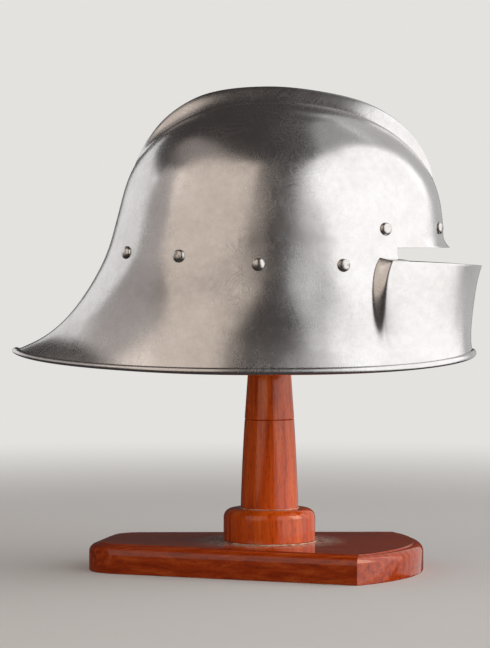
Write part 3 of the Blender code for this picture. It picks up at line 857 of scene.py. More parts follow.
@dataclass(frozen=True)
class HelmetSizes:
    """The helmet's sizes, as the solids have them, and its hammered unevenness, which they leave out.

    Lengths are in metres and angles in degrees. What has no unit is a share or an exponent.
    """

    wall: float = 1.8 * MM
    rim_height: float = 193.0 * MM
    skull_height: float = 214.0 * MM
    skull_front: float = 151.7 * MM
    skull_back: float = 140.6 * MM
    skull_side: float = 108.0 * MM
    rim_front: float = 176.6 * MM
    rim_back: float = 218.5 * MM
    rim_side: float = 120.0 * MM
    rim_drop: float = 12.0 * MM
    bead_height: float = 6.2 * MM
    bead_thickness: float = 4.6 * MM
    comb_height: float = 14.2 * MM
    comb_width: float = 24.0 * MM
    sight_top: float = 88.0 * MM
    sight_gap: float = 8.2 * MM
    sight_widening: float = 5.4 * MM
    sight_sharpness: int = 4
    ledge_thickness: float = 1.8 * MM
    face_step_ahead: float = 32.6 * MM
    face_step_beside: float = 12.0 * MM
    flange_reach: float = 5.5 * MM
    flange_height: float = 11.0 * MM
    sight_end: float = 44.3
    step_full: float = 49.2
    step_start: float = 52.6
    step_lean: float = 7.4
    step_lean_begins: float = 20.0
    step_lean_ends: float = 92.0
    flange_full: float = 15.0
    flange_start: float = 40.0
    comb_front_full: float = 67.0
    comb_back_full: float = 108.0
    comb_back_end: float = 158.0
    widest_behind: float = 8.5
    side_bend_at: float = 102.5
    side_bend_behind: float = 9.0
    side_bend_ahead: float = 20.0
    comb_round: float = 0.15
    comb_hollow: float = 1.6
    side_bend: float = 0.15
    calm_middle: tuple[float, float] = (10 * MM, 45 * MM)
    calm_rim: tuple[float, float] = (2 * MM, 24 * MM)
    bulge_shift: tuple[float, float, float] = (3.1, 0.4, 7.7)
    bulge_size: float = 48.0 * MM
    bulge_depth: float = 1.3 * MM
    blow_size: float = 15.0 * MM
    blow_depth: float = 0.07 * MM
    dents: tuple[Dent, ...] = (
        Dent(34.0, 248.0, 17.0, -0.8),
        Dent(77.0, 250.0, 17.0, 0.8),
    )
    tail_pinch: float = 0.50
    tail_sharpness: float = 4.0
    bow_softness: float = 0.14
    bow_fullness: float = 0.6
    lean_ease: float = 0.35
    step_spread: float = 0.8
    face_fade: float = 1.2
    side_fade_ends: float = 0.94
    side_fade_sharpness: int = 12
    dome: tuple[Level, ...] = (
        Level(1.000, 0.000, 0.000, 0.000),
        Level(0.988, 0.215, 0.238, 0.262),
        Level(0.955, 0.452, 0.432, 0.440),
        Level(0.906, 0.629, 0.595, 0.590),
        Level(0.841, 0.767, 0.732, 0.718),
        Level(0.768, 0.866, 0.836, 0.812),
        Level(0.686, 0.939, 0.913, 0.876),
        Level(0.584, 0.982, 0.968, 0.922),
        Level(0.474, 0.997, 0.993, 0.966),
        Level(0.401, 1.000, 1.000, 1.000),
    )
    skirt: tuple[Level, ...] = (
        Level(0.299, 0.140, 0.160, 0.131),
        Level(0.197, 0.410, 0.380, 0.307),
        Level(0.095, 0.700, 0.680, 0.554),
        Level(0.034, 0.885, 0.880, 0.794),
        Level(0.000, 1.000, 1.000, 1.000),
    )
    cap_level: int = 6


class HelmetForm:
    """The helmet's wall as a function of an angle round the post's axis and of a course down the wall."""

    EVEN_COURSES = 1601
    CAP_COURSES = 200

    def __init__(self, sizes: HelmetSizes) -> None:
        """Fits the splines.

        Args:
            sizes: The helmet's sizes.
        """
        self.sizes = sizes
        heights = [level.height * sizes.skull_height for level in sizes.dome + sizes.skirt]
        reaches = {}
        for name, skull, rim in (
            ("front", sizes.skull_front, sizes.rim_front),
            ("side", sizes.skull_side, sizes.rim_side),
            ("back", sizes.skull_back, sizes.rim_back),
        ):
            dome = [getattr(level, name) * skull for level in sizes.dome]
            reaches[name] = dome + [skull + getattr(level, name) * (rim - skull) for level in sizes.skirt]
        middle = [(front + side + back) / 3 for front, side, back in zip(*reaches.values())]
        steps = np.hypot(np.diff(middle), np.diff(heights))
        courses = np.concatenate([[0.0], np.cumsum(steps)]) / steps.sum()
        self.reach = {name: Spline(courses, values) for name, values in reaches.items()}
        self.height = Spline(courses, heights, level_start=True)
        self.cap_course = float(courses[sizes.cap_level])
        self.cap_height = heights[sizes.cap_level]
        self.even_courses = np.linspace(0.0, 1.0, self.EVEN_COURSES)
        self.even_heights = np.array([self.height.at(course) for course in self.even_courses])
        cap_courses = np.linspace(0.0, self.cap_course, self.CAP_COURSES)
        widths = [self.reach["side"].at(course) for course in cap_courses]
        foot = np.interp(sizes.comb_width / 2, widths, cap_courses)
        self.comb_share = float(foot) / self.cap_course

    def course_at(self, height: float) -> float:
        """The course at which the wall is this high above the rim's line."""
        return float(np.interp(-height, -self.even_heights, self.even_courses))

    def base(self, angle: float, course: float) -> Vector:
        """A point of the smooth outer wall.

        Args:
            angle: Round the post's axis, in radians from the brow.
            course: 0 at the crown, 1 at the rim.

        Returns:
            The point on the right side.
        """
        sizes = self.sizes
        front, back = self.reach["front"].at(course), self.reach["back"].at(course)
        cosine, sine = math.cos(angle), math.sin(angle)
        height = self.height.at(course)
        skirt = max(0.0, 1 - height / sizes.sight_top)
        spread = smooth_step(skirt, 0.0, 1.0)
        pinch = sizes.tail_pinch * spread * ((1 - cosine) / 2) ** sizes.tail_sharpness
        behind = math.radians(sizes.widest_behind) * spread * sine * sine
        turn = angle - math.radians(sizes.side_bend_at)
        width = math.radians(sizes.side_bend_behind if turn > 0 else sizes.side_bend_ahead)
        bend = sizes.side_bend * turn * math.exp(-(turn / width) ** 2 / 2) * smooth_step(skirt, 0.35, 0.85)
        soft = sizes.bow_softness
        bow = (math.hypot(sine, soft) - soft) / (math.hypot(1, soft) - soft)
        bow = 1 - max(0.0, 1 - bow) ** (1 + sizes.bow_fullness * (1 - cosine) / 2)
        return Vector((
            (front + back) / 2 * cosine + (front - back) / 2 * cosine * cosine,
            -self.reach["side"].at(course) * math.sin(angle - behind) * (1 - pinch) * (1 + bend),
            sizes.rim_height + height - sizes.rim_drop * bow * skirt * skirt,
        ))

    def frame(self, angle: float, course: float) -> tuple[Vector, Vector]:
        """How the smooth wall lies at a point.

        Args:
            angle: Round the post's axis, in radians from the brow.
            course: 0 at the crown, 1 at the rim.

        Returns:
            The outward normal, and the direction down the wall.
        """
        small = 1e-3
        course = max(course, 2 * small)
        around = self.base(angle + small, course) - self.base(angle - small, course)
        down = self.base(angle, min(course + small, 1.0)) - self.base(angle, course - small)
        return around.cross(down).normalized(), down.normalized()

    def sight_bottom(self, angle: float) -> float:
        """The height of the sight's lower edge above the rim's line."""
        ahead = self.face_window(angle) * max(0.0, math.cos(angle)) ** self.sizes.sight_sharpness
        return self.sizes.sight_top - self.sizes.sight_gap - self.sizes.sight_widening * ahead

    def face_window(self, angle: float, depth: float = 0.0) -> float:
        """How much of the step of the face there is at an angle.

        Args:
            angle: The column's angle in radians.
            depth: 0 at the sight's lower edge, 1 at the rim's line.

        Returns:
            1 over the stepped face, falling to 0 beyond its side, and more gently lower down.
        """
        spread = self.sizes.step_spread * depth
        start, end = self.sizes.step_full - spread, self.sizes.step_start + spread
        return 1 - bent_step(math.degrees(angle), start, end)

    def face_depth(self, angle: float, height: float) -> float:
        """0 at the sight's lower edge, 1 at the rim's line."""
        return min(max(1 - height / self.sight_bottom(angle), 0.0), 1.0)

    def leaned(self, angle: float, height: float) -> float:
        """A column's angle, which leans back below the sight so that the step's side does.

        Args:
            angle: The column's angle at the sight, in radians.
            height: The height above the rim's line.

        Returns:
            The column's angle at that height.
        """
        sizes, degrees = self.sizes, math.degrees(angle)
        share = smooth_step(degrees, sizes.step_lean_begins, sizes.step_full)
        share *= smooth_step(-degrees, -sizes.step_lean_ends, -sizes.step_start)
        depth, ease = self.face_depth(angle, height), sizes.lean_ease
        return angle + math.radians(sizes.step_lean) * share * depth * (1 + ease) / (depth + ease)

    def face_offset(self, angle: float, height: float) -> Vector:
        """How the stepped face stands off the smooth wall.

        Args:
            angle: The column's angle in radians.
            height: The height above the rim's line.

        Returns:
            The way from the smooth wall to the face.
        """
        sizes = self.sizes
        share = min(math.degrees(angle) / sizes.step_full, 1.0)
        step = sizes.face_step_beside + (sizes.face_step_ahead - sizes.face_step_beside) * (1 - share * share)
        ahead, aside = math.cos(angle) / sizes.skull_front, -math.sin(angle) / sizes.skull_side
        outward = Vector((ahead, aside, 0.0)).normalized()
        depth = self.face_depth(angle, height)
        front_fade = (1 - depth) ** sizes.face_fade
        side_fade = 1 - smooth_step(depth, 0.0, sizes.side_fade_ends)
        fade = front_fade + (side_fade - front_fade) * share ** sizes.side_fade_sharpness
        return outward * step * self.face_window(angle, depth) * fade

    def flange(self, angle: float, height: float) -> Vector:
        """How far the brow's edge is turned out above the sight.

        Args:
            angle: The column's angle in radians.
            height: The height above the rim's line.

        Returns:
            The way from the smooth wall to the flange.
        """
        sizes = self.sizes
        across = 1 - smooth_step(math.degrees(angle), sizes.flange_full, sizes.flange_start)
        share = max(0.0, 1 - (height - sizes.sight_top) / sizes.flange_height)
        return Vector((sizes.flange_reach * across * share * share, 0, 0))

    def hammered(self, place: Vector) -> float:
        """How far the hammer left the wall in or out: not at all at its middle line and its rim.

        Args:
            place: The point of the smooth wall.

        Returns:
            The way outwards.
        """
        sizes = self.sizes
        window = smooth_step(abs(place.y), *sizes.calm_middle)
        window *= smooth_step(place.z - sizes.rim_height + sizes.rim_drop, *sizes.calm_rim)
        wide = noise.noise(place / sizes.bulge_size + Vector(sizes.bulge_shift))
        fine = noise.noise(place / sizes.blow_size)
        dished = sum(dent.depth * MM * math.exp(-((place.x / MM - dent.ahead) ** 2
                                                  + (place.z / MM - dent.up) ** 2) / (2 * dent.spread ** 2))
                     for dent in sizes.dents)
        return window * (sizes.bulge_depth * wide + sizes.blow_depth * fine + dished)

    def comb(self, angle: float, across: float) -> float:
        """How far the comb stands off the dome.

        Args:
            angle: The column's angle in radians.
            across: 0 at the comb's ridge and 1 at its foot.

        Returns:
            The comb's height there.
        """
        sizes, degrees = self.sizes, math.degrees(angle)
        swell = smooth_step(degrees, 0.0, sizes.comb_front_full)
        swell *= smooth_step(-degrees, -sizes.comb_back_end, -sizes.comb_back_full)
        soft = sizes.comb_round
        reach = (math.hypot(across, soft) - soft) / (math.hypot(1, soft) - soft)
        return sizes.comb_height * swell * max(0.0, 1 - reach) ** sizes.comb_hollow

    def cap_pair(self, angle: float, share: float) -> tuple[Vector, Vector]:
        """The wall over the dome, comb included.

        Args:
            angle: The column's angle in radians.
            share: 0 on the middle line and 1 at the cap's foot.

        Returns:
            The outer and the inner point.
        """
        along, across = math.cos(angle), share * math.sin(angle)
        around, course = math.atan2(across, along), self.cap_course * math.hypot(along, across)
        base = self.base(around, course)
        normal = self.frame(around, course)[0] if course > 1e-6 else Vector((0, 0, 1))
        base = base + normal * self.hammered(base)
        foot = self.sizes.comb_width / 2
        outer = base + normal * self.comb(angle, share / self.comb_share)
        inside = self.comb(angle, share / self.comb_share / (1 - self.sizes.wall / foot))
        return outer, base + normal * (inside - self.sizes.wall)

    def skirt_pair(
        self, angle: float, height: float, offset: Vector, lowered: float = 0.0
    ) -> tuple[Vector, Vector]:
        """The wall below the cap.

        Args:
            angle: The column's angle in radians.
            height: The height above the rim's line.
            offset: The way that the wall is moved from its smooth place.
            lowered: How much lower the inner point lies.

        Returns:
            The outer and the inner point.
        """
        course, turned_angle = self.course_at(height), self.leaned(angle, height)
        place = self.base(turned_angle, course)
        normal = self.frame(turned_angle, course)[0]
        place = place + offset + normal * self.hammered(place)
        return place, place - normal * self.sizes.wall - Vector((0, 0, lowered))


@dataclass
class Skull:
    """The shell in one sheet of steel: dome, hollow comb, tail, stepped face with its sight, and rolled rim."""

    form: HelmetForm
    column_step: float = 1.5
    face_column: float = 0.7
    step_column: float = 0.3
    step_margin: float = 0.8
    sight_corner: float = 2.0
    comb_rows: int = 12
    cap_rows: int = 34
    cap_spread: float = 1.35
    upper_rows: int = 8
    flange_rows: int = 8
    ledge_shares: tuple[float, ...] = (0.0, 0.3, 0.6, 0.8, 0.93, 1.0)
    lower_rows: int = 34
    drop_fade: float = 3.0
    bead_steps: int = 20
    bead_from: float = 16.0
    bead_to: float = 205.0
    seam_depth: float = 0.7 * MM
    seam_width: float = 0.45 * MM
    edge_round: float = 0.45 * MM
    sight_rows: tuple[int, int] = (0, 0)
    inner_start: int = 0

    def columns(self) -> list[float]:
        """The columns' angles in radians: even ones, and closer ones over the side of the stepped face.

        Returns:
            The angles from the brow to the tail.
        """
        sizes = self.form.sizes
        step_front, step_back = sizes.step_full - self.step_margin, sizes.step_start + self.step_margin
        marks = [0.0, sizes.sight_end, step_front, step_back, 180.0]
        steps = [self.column_step, self.face_column, self.step_column, self.column_step]
        angles = []
        for start, end, step in zip(marks, marks[1:], steps):
            count = max(1, round((end - start) / step))
            angles += [start + (end - start) * i / count for i in range(count)]
        return [math.radians(angle) for angle in angles + [180.0]]

    def section(self, angle: float) -> list[Vector]:
        """One column's closed outline: from the ridge down the outer wall, round the bead and up inside.

        Args:
            angle: The column's angle in radians.

        Returns:
            The points, as many at each angle.
        """
        form, sizes = self.form, self.form.sizes
        shares = [form.comb_share * i / self.comb_rows for i in range(self.comb_rows)]
        for i in range(self.cap_rows + 1):
            shares.append(form.comb_share + (1 - form.comb_share) * (i / self.cap_rows) ** self.cap_spread)
        pairs = [form.cap_pair(angle, share) for share in shares]
        flange_top = sizes.sight_top + sizes.flange_height
        for i in range(1, self.upper_rows):
            height = form.cap_height + (flange_top - form.cap_height) * i / self.upper_rows
            pairs.append(form.skirt_pair(angle, height, Vector()))
        for i in range(self.flange_rows + 1):
            height = flange_top - sizes.flange_height * i / self.flange_rows
            pairs.append(form.skirt_pair(angle, height, form.flange(angle, height)))
        brow_edge = len(pairs) - 1
        ledge = form.sight_bottom(angle)
        closed = smooth_step(math.degrees(angle), sizes.sight_end, sizes.sight_end + self.sight_corner)
        drop = sizes.wall * form.face_window(angle) * closed
        lip = ledge - sizes.ledge_thickness
        step = form.face_offset(angle, lip)
        for share in self.ledge_shares:
            height = ledge - sizes.ledge_thickness * (1 - math.sqrt(1 - share * share))
            pairs.append(form.skirt_pair(angle, height, step * share, drop))
        lip_row = len(pairs) - 1
        for i in range(1, self.lower_rows + 1):
            height = lip * (1 - i / self.lower_rows)
            lowered = drop * max(0.0, 1 - self.drop_fade * i / self.lower_rows)
            pairs.append(form.skirt_pair(angle, height, form.face_offset(angle, height), lowered))
        self.sight_rows = (brow_edge, lip_row)
        outer, inner = [pair[0] for pair in pairs], [pair[1] for pair in pairs]
        rim = self.rolled_rim(angle, outer[-1])
        self.inner_start = len(outer) + len(rim) - 3
        return outer + rim + inner[::-1]

    def rolled_rim(self, angle: float, end: Vector) -> list[Vector]:
        """The bead's outline below the outer wall: a dark narrow seam, then the roll.

        Args:
            angle: The column's angle.
            end: The outer wall's last point.

        Returns:
            The points from the seam round to the inner wall.
        """
        form, sizes = self.form, self.form.sizes
        normal, down = form.frame(form.leaned(angle, 0.0), 1.0)
        centre = end + down * sizes.bead_height / 2
        points = [end - normal * self.seam_depth + down * self.seam_width]
        for i in range(self.bead_steps + 1):
            turn = math.radians(self.bead_from + (self.bead_to - self.bead_from) * i / self.bead_steps)
            out = normal * math.sin(turn) * sizes.bead_thickness / 2
            points.append(centre + out - down * math.cos(turn) * sizes.bead_height / 2)
        return points

    def build(self) -> bpy.types.Object:
        """Shapes a grid into half of the shell, mirrors it, opens the sight and finishes its edges.

        Returns:
            The closed shell.
        """
        angles = self.columns()
        sections = [self.section(angle) for angle in angles]
        columns, rows = len(sections), len(sections[0])
        bpy.ops.object.select_all(action="DESELECT")
        bpy.ops.mesh.primitive_grid_add(x_subdivisions=columns - 1, y_subdivisions=rows - 1, size=1.0)
        skull = named("steel_shell")
        brow_edge, lip_row = self.sight_rows
        outer_gap, inner_gap = range(brow_edge, lip_row), range(rows - 1 - lip_row, rows - 1 - brow_edge)
        places = {}
        for vertex in skull.data.vertices:
            column = round((vertex.co.x + 0.5) * (columns - 1))
            row = round((vertex.co.y + 0.5) * (rows - 1))
            places[vertex.index] = (column, row)
        middle_columns = (0, columns - 1)
        for vertex in skull.data.vertices:
            column, row = places[vertex.index]
            vertex.co = sections[column][row]
            if column in middle_columns or row in (0, rows - 1):
                vertex.co.y = 0.0
        sight_end = math.radians(self.form.sizes.sight_end) + 1e-6

        def open_sight(bm: bmesh.types.BMesh) -> None:
            """Deletes the faces that the sight cuts away, in both skins.

            Args:
                bm: The edit mesh.
            """

            def cut(face: bmesh.types.BMFace) -> bool:
                """Whether the sight takes this face.

                Args:
                    face: The face.

                Returns:
                    True where the sight takes it.
                """
                cells = [places[vertex.index] for vertex in face.verts]
                if max(angles[column] for column, _ in cells) > sight_end:
                    return False
                row = min(row for _, row in cells)
                return row in outer_gap or row in inner_gap

            LOG.info("the sight cuts %d faces", select(bm, bm.faces, cut))
            bpy.ops.mesh.delete(type="FACE")

        for polygon in skull.data.polygons:
            is_inside = places[polygon.vertices[0]][1] > self.inner_start
            polygon.material_index = 1 if is_inside else 0
        editing(skull, open_sight)
        apply_modifier(skull, "MIRROR", use_axis=(False, True, False), use_mirror_merge=True,
                       merge_threshold=0.01 * MM)

        def join_skins(_: bmesh.types.BMesh) -> None:
            """Closes the poles and joins the two skins round the sight, with operators alone."""
            bpy.ops.mesh.select_all(action="SELECT")
            bpy.ops.mesh.remove_doubles(threshold=0.01 * MM)
            bpy.ops.mesh.select_all(action="DESELECT")
            bpy.ops.mesh.select_mode(type="EDGE")
            bpy.ops.mesh.select_non_manifold(extend=False)
            bpy.ops.mesh.bridge_edge_loops()
            bpy.ops.mesh.select_all(action="SELECT")
            bpy.ops.mesh.normals_make_consistent(inside=False)
            bpy.ops.mesh.select_mode(type="VERT")

        editing(skull, join_skins)
        self.round_sight(skull)
        smooth(skull, 38.0)
        return skull

    def round_sight(self, skull: bpy.types.Object) -> None:
        """Rounds the cut edges of the sight a little.

        Args:
            skull: The shell.
        """
        sight_top = self.form.sizes.rim_height + self.form.sizes.sight_top
        low, high, behind = sight_top - 20 * MM, sight_top + 2 * MM, 60 * MM
        sharp = math.radians(55)

        def work(bm: bmesh.types.BMesh) -> None:
            """Bevels the sharp edges between the two heights at the front.

            Args:
                bm: The edit mesh.
            """

            def cut_edge(edge: bmesh.types.BMEdge) -> bool:
                """Whether this edge borders the sight.

                Args:
                    edge: The edge.

                Returns:
                    True where it does.
                """
                if len(edge.link_faces) != 2 or edge.calc_face_angle(0.0) < sharp:
                    return False
                middle = (edge.verts[0].co + edge.verts[1].co) / 2
                return middle.x > behind and low < middle.z < high

            bpy.ops.mesh.select_mode(type="EDGE")
            count = select(bm, bm.edges, cut_edge)
            LOG.info("the sight has %d cut edges", count)
            bpy.ops.mesh.bevel(offset=self.edge_round, segments=2, affect="EDGES", clamp_overlap=True)
            bpy.ops.mesh.select_mode(type="VERT")

        editing(skull, work)


class RivetPlace(NamedTuple):
    """Degrees round the post's axis, and a share of the skull's height above the rim."""

    angle: float
    height: float


@dataclass
class Rivets:
    """The lining rivets: domed heads outside, shanks through the wall and flat tails inside."""

    form: HelmetForm
    head_radius: float = 5.6 * MM
    head_height: float = 3.4 * MM
    head_edge: float = 0.55 * MM
    dome_share: float = 0.985
    dome_fullness: float = 0.9
    shank_radius: float = 2.2 * MM
    tail_radius: float = 4.2 * MM
    tail_height: float = 1.4 * MM
    sink: float = 0.12 * MM
    sides: int = 40
    places: tuple[RivetPlace, ...] = (
        RivetPlace(14.3, 0.491),
        RivetPlace(48.9, 0.485),
        RivetPlace(66.1, 0.344),
        RivetPlace(94.0, 0.348),
        RivetPlace(122.0, 0.379),
        RivetPlace(149.4, 0.392),
    )

    def model(self) -> bpy.types.Object:
        """Models one rivet along +Z with the wall's outer face at 0.

        Returns:
            The closed rivet.
        """
        grip, tail, head = self.form.sizes.wall, self.tail_radius, self.head_radius
        outline = [Ring(tail * 0.55, -grip - self.tail_height),
                   Ring(tail * 0.85, -grip - self.tail_height * 0.85),
                   Ring(tail, -grip - self.tail_height * 0.45),
                   Ring(tail * 0.96, -grip),
                   Ring(self.shank_radius, -grip),
                   Ring(self.shank_radius, 0.0),
                   Ring(head * 0.90, 0.0),
                   Ring(head, self.head_edge * 0.8),
                   Ring(head * self.dome_share, self.head_edge)]
        dome = self.head_height - self.head_edge
        for turn in map(math.radians, range(10, 90, 10)):
            outline.append(Ring(head * self.dome_share * math.cos(turn) ** self.dome_fullness,
                                self.head_edge + dome * math.sin(turn)))
        outline.append(Ring(head * 0.05, self.head_height))
        return turned("rivet_model", outline, self.sides)

    def build(self) -> list[tuple[bpy.types.Object, str]]:
        """Copies the rivet to each of its places on both sides.

        Returns:
            Each rivet with the name of the solid that it stands for.
        """
        model = self.model()
        made = []
        for side in Side:
            for number, place in enumerate(self.places, 1):
                angle = math.radians(place.angle)
                course = self.form.course_at(place.height * self.form.sizes.skull_height)
                seat, normal = self.form.base(angle, course), self.form.frame(angle, course)[0]
                seat = seat + normal * self.form.hammered(seat)
                seat = Vector((seat.x, seat.y * side.value, seat.z))
                normal = Vector((normal.x, normal.y * side.value, normal.z))
                only(model)
                bpy.ops.object.duplicate(linked=False)
                rivet = named(f"rivet_head_{side.name.lower()}_{number}")
                turn = normal.to_track_quat("Z", "Y").to_matrix().to_4x4()
                rivet.matrix_world = Matrix.Translation(seat - normal * self.sink) @ turn
                only(rivet)
                bpy.ops.object.transform_apply(location=True, rotation=True, scale=True)
                smooth(rivet, 40.0)
                made.append((rivet, f"rivet_{side.name.lower()}_{number}"))
        bpy.data.objects.remove(model)
        return made


# ---- The stand


@dataclass
class Board:
    """The base board: a bowed wide end ahead, a rounded narrow end behind, and a moulded upper edge."""

    length: float = 288.0 * MM
    thickness: float = 25.0 * MM
    wide_end: float = 214.0 * MM
    narrow_end: float = 112.0 * MM
    bulge: float = 40.0 * MM
    corner: float = 34.0 * MM
    round: float = 7.5 * MM
    round_steps: int = 8
    bow_steps: int = 60
    corner_steps: int = 24
    step: float = 1.0 * MM
    ahead: float = 134.0 * MM
    turn: float = math.radians(-11.0)
    foot_round: float = 1.2 * MM

    def outline(self, inset: float) -> list[tuple[float, float]]:
        """The board's outline, symmetric about its own length.

        Args:
            inset: How far inside the edge it lies.

        Returns:
            Its corners in order.
        """
        half_wide, half_narrow = self.wide_end / 2 - inset, self.narrow_end / 2 - inset
        back, shoulder = self.ahead - self.length + inset, self.ahead - self.bulge
        sag = self.bulge - inset
        radius = (half_wide ** 2 + sag ** 2) / (2 * sag)
        swing = math.degrees(math.asin(half_wide / radius))
        ahead = arc((self.ahead - inset - radius, 0.0), radius, -swing, swing, self.bow_steps)
        slope = math.atan2(half_wide - half_narrow, shoulder - back)
        round_radius = self.corner - inset
        centre_y = half_narrow - round_radius * math.tan(math.radians(45) - slope / 2)
        corner = arc((back + round_radius, centre_y), round_radius, 90 + math.degrees(slope), 180,
                     self.corner_steps)
        return ahead + corner + [(x, -y) for x, y in reversed(corner)]

    def build(self) -> bpy.types.Object:
        """Shapes a disc into the board's outline and grows it upwards, ring by ring.

        Returns:
            The closed board.
        """
        levels = [(self.foot_round, 0.0), (self.foot_round * 0.3, self.foot_round * 0.3),
                  (0.0, self.foot_round), (0.0, self.thickness - self.round - self.step)]
        for i in range(1, self.round_steps + 1):
            turn = math.radians(90 * i / self.round_steps)
            levels.append((self.round * (1 - math.cos(turn)),
                           self.thickness - self.step - self.round * (1 - math.sin(turn))))
        levels += [(self.round + 0.6 * self.step, self.thickness - self.step),
                   (self.round + self.step, self.thickness - 0.75 * self.step),
                   (self.round + self.step, self.thickness - 0.2 * self.step),
                   (self.round + 1.3 * self.step, self.thickness)]
        count = len(self.outline(0.0))
        bpy.ops.object.select_all(action="DESELECT")
        bpy.ops.mesh.primitive_circle_add(vertices=count, radius=self.length / 2, fill_type="NGON")
        board = named("wooden_board")

        def work(bm: bmesh.types.BMesh) -> None:
            """Moves the disc's corners to the outline, and each ring that is extruded after it.

            Args:
                bm: The edit mesh.
            """
            bpy.ops.mesh.select_all(action="SELECT")
            for number, (inset, height) in enumerate(levels):
                if number:
                    bpy.ops.mesh.extrude_region_move(TRANSFORM_OT_translate={"value": (0.0, 0.0, 1 * MM)})
                    bm = bmesh.from_edit_mesh(board.data)
                ring = [vertex for vertex in bm.verts if vertex.select]
                if number == 0:
                    ring.sort(key=lambda vertex: vertex.index)
                for vertex, (x, y) in zip(self.in_order(ring, number == 0), self.outline(inset)):
                    vertex.co = (x, y, height)
                bmesh.update_edit_mesh(board.data)

        editing(board, work)
        board.rotation_euler.z = self.turn
        only(board)
        bpy.ops.object.transform_apply(location=True, rotation=True, scale=True)
        face_outwards(board)
        smooth(board, 25.0)
        return board

    def in_order(self, ring: list[bmesh.types.BMVert], is_first: bool) -> list[bmesh.types.BMVert]:
        """Walks round the selected ring from the corner that belongs to the outline's first point.

        Args:
            ring: The ring's vertices.
            is_first: Whether this is the disc itself, which starts anywhere.

        Returns:
            The vertices in the outline's order.
        """
        chosen = set(ring)
        wide_x, wide_y = self.outline(0.0)[0]
        nearest = min(ring, key=lambda v: (v.co.x - wide_x) ** 2 + (v.co.y - wide_y) ** 2)
        start = ring[0] if is_first else nearest
        walk = [start]
        while len(walk) < len(ring):
            onward = [edge.other_vert(walk[-1]) for edge in walk[-1].link_edges if edge.select]
            onward = [vertex for vertex in onward if vertex in chosen and vertex not in walk[-2:]]
            if len(walk) == 1:
                centre_turn = [(v, walk[0].co.x * v.co.y - walk[0].co.y * v.co.x) for v in onward]
                onward = [v for v, turn in centre_turn if turn > 0] or onward
            walk.append(onward[0])
        return walk


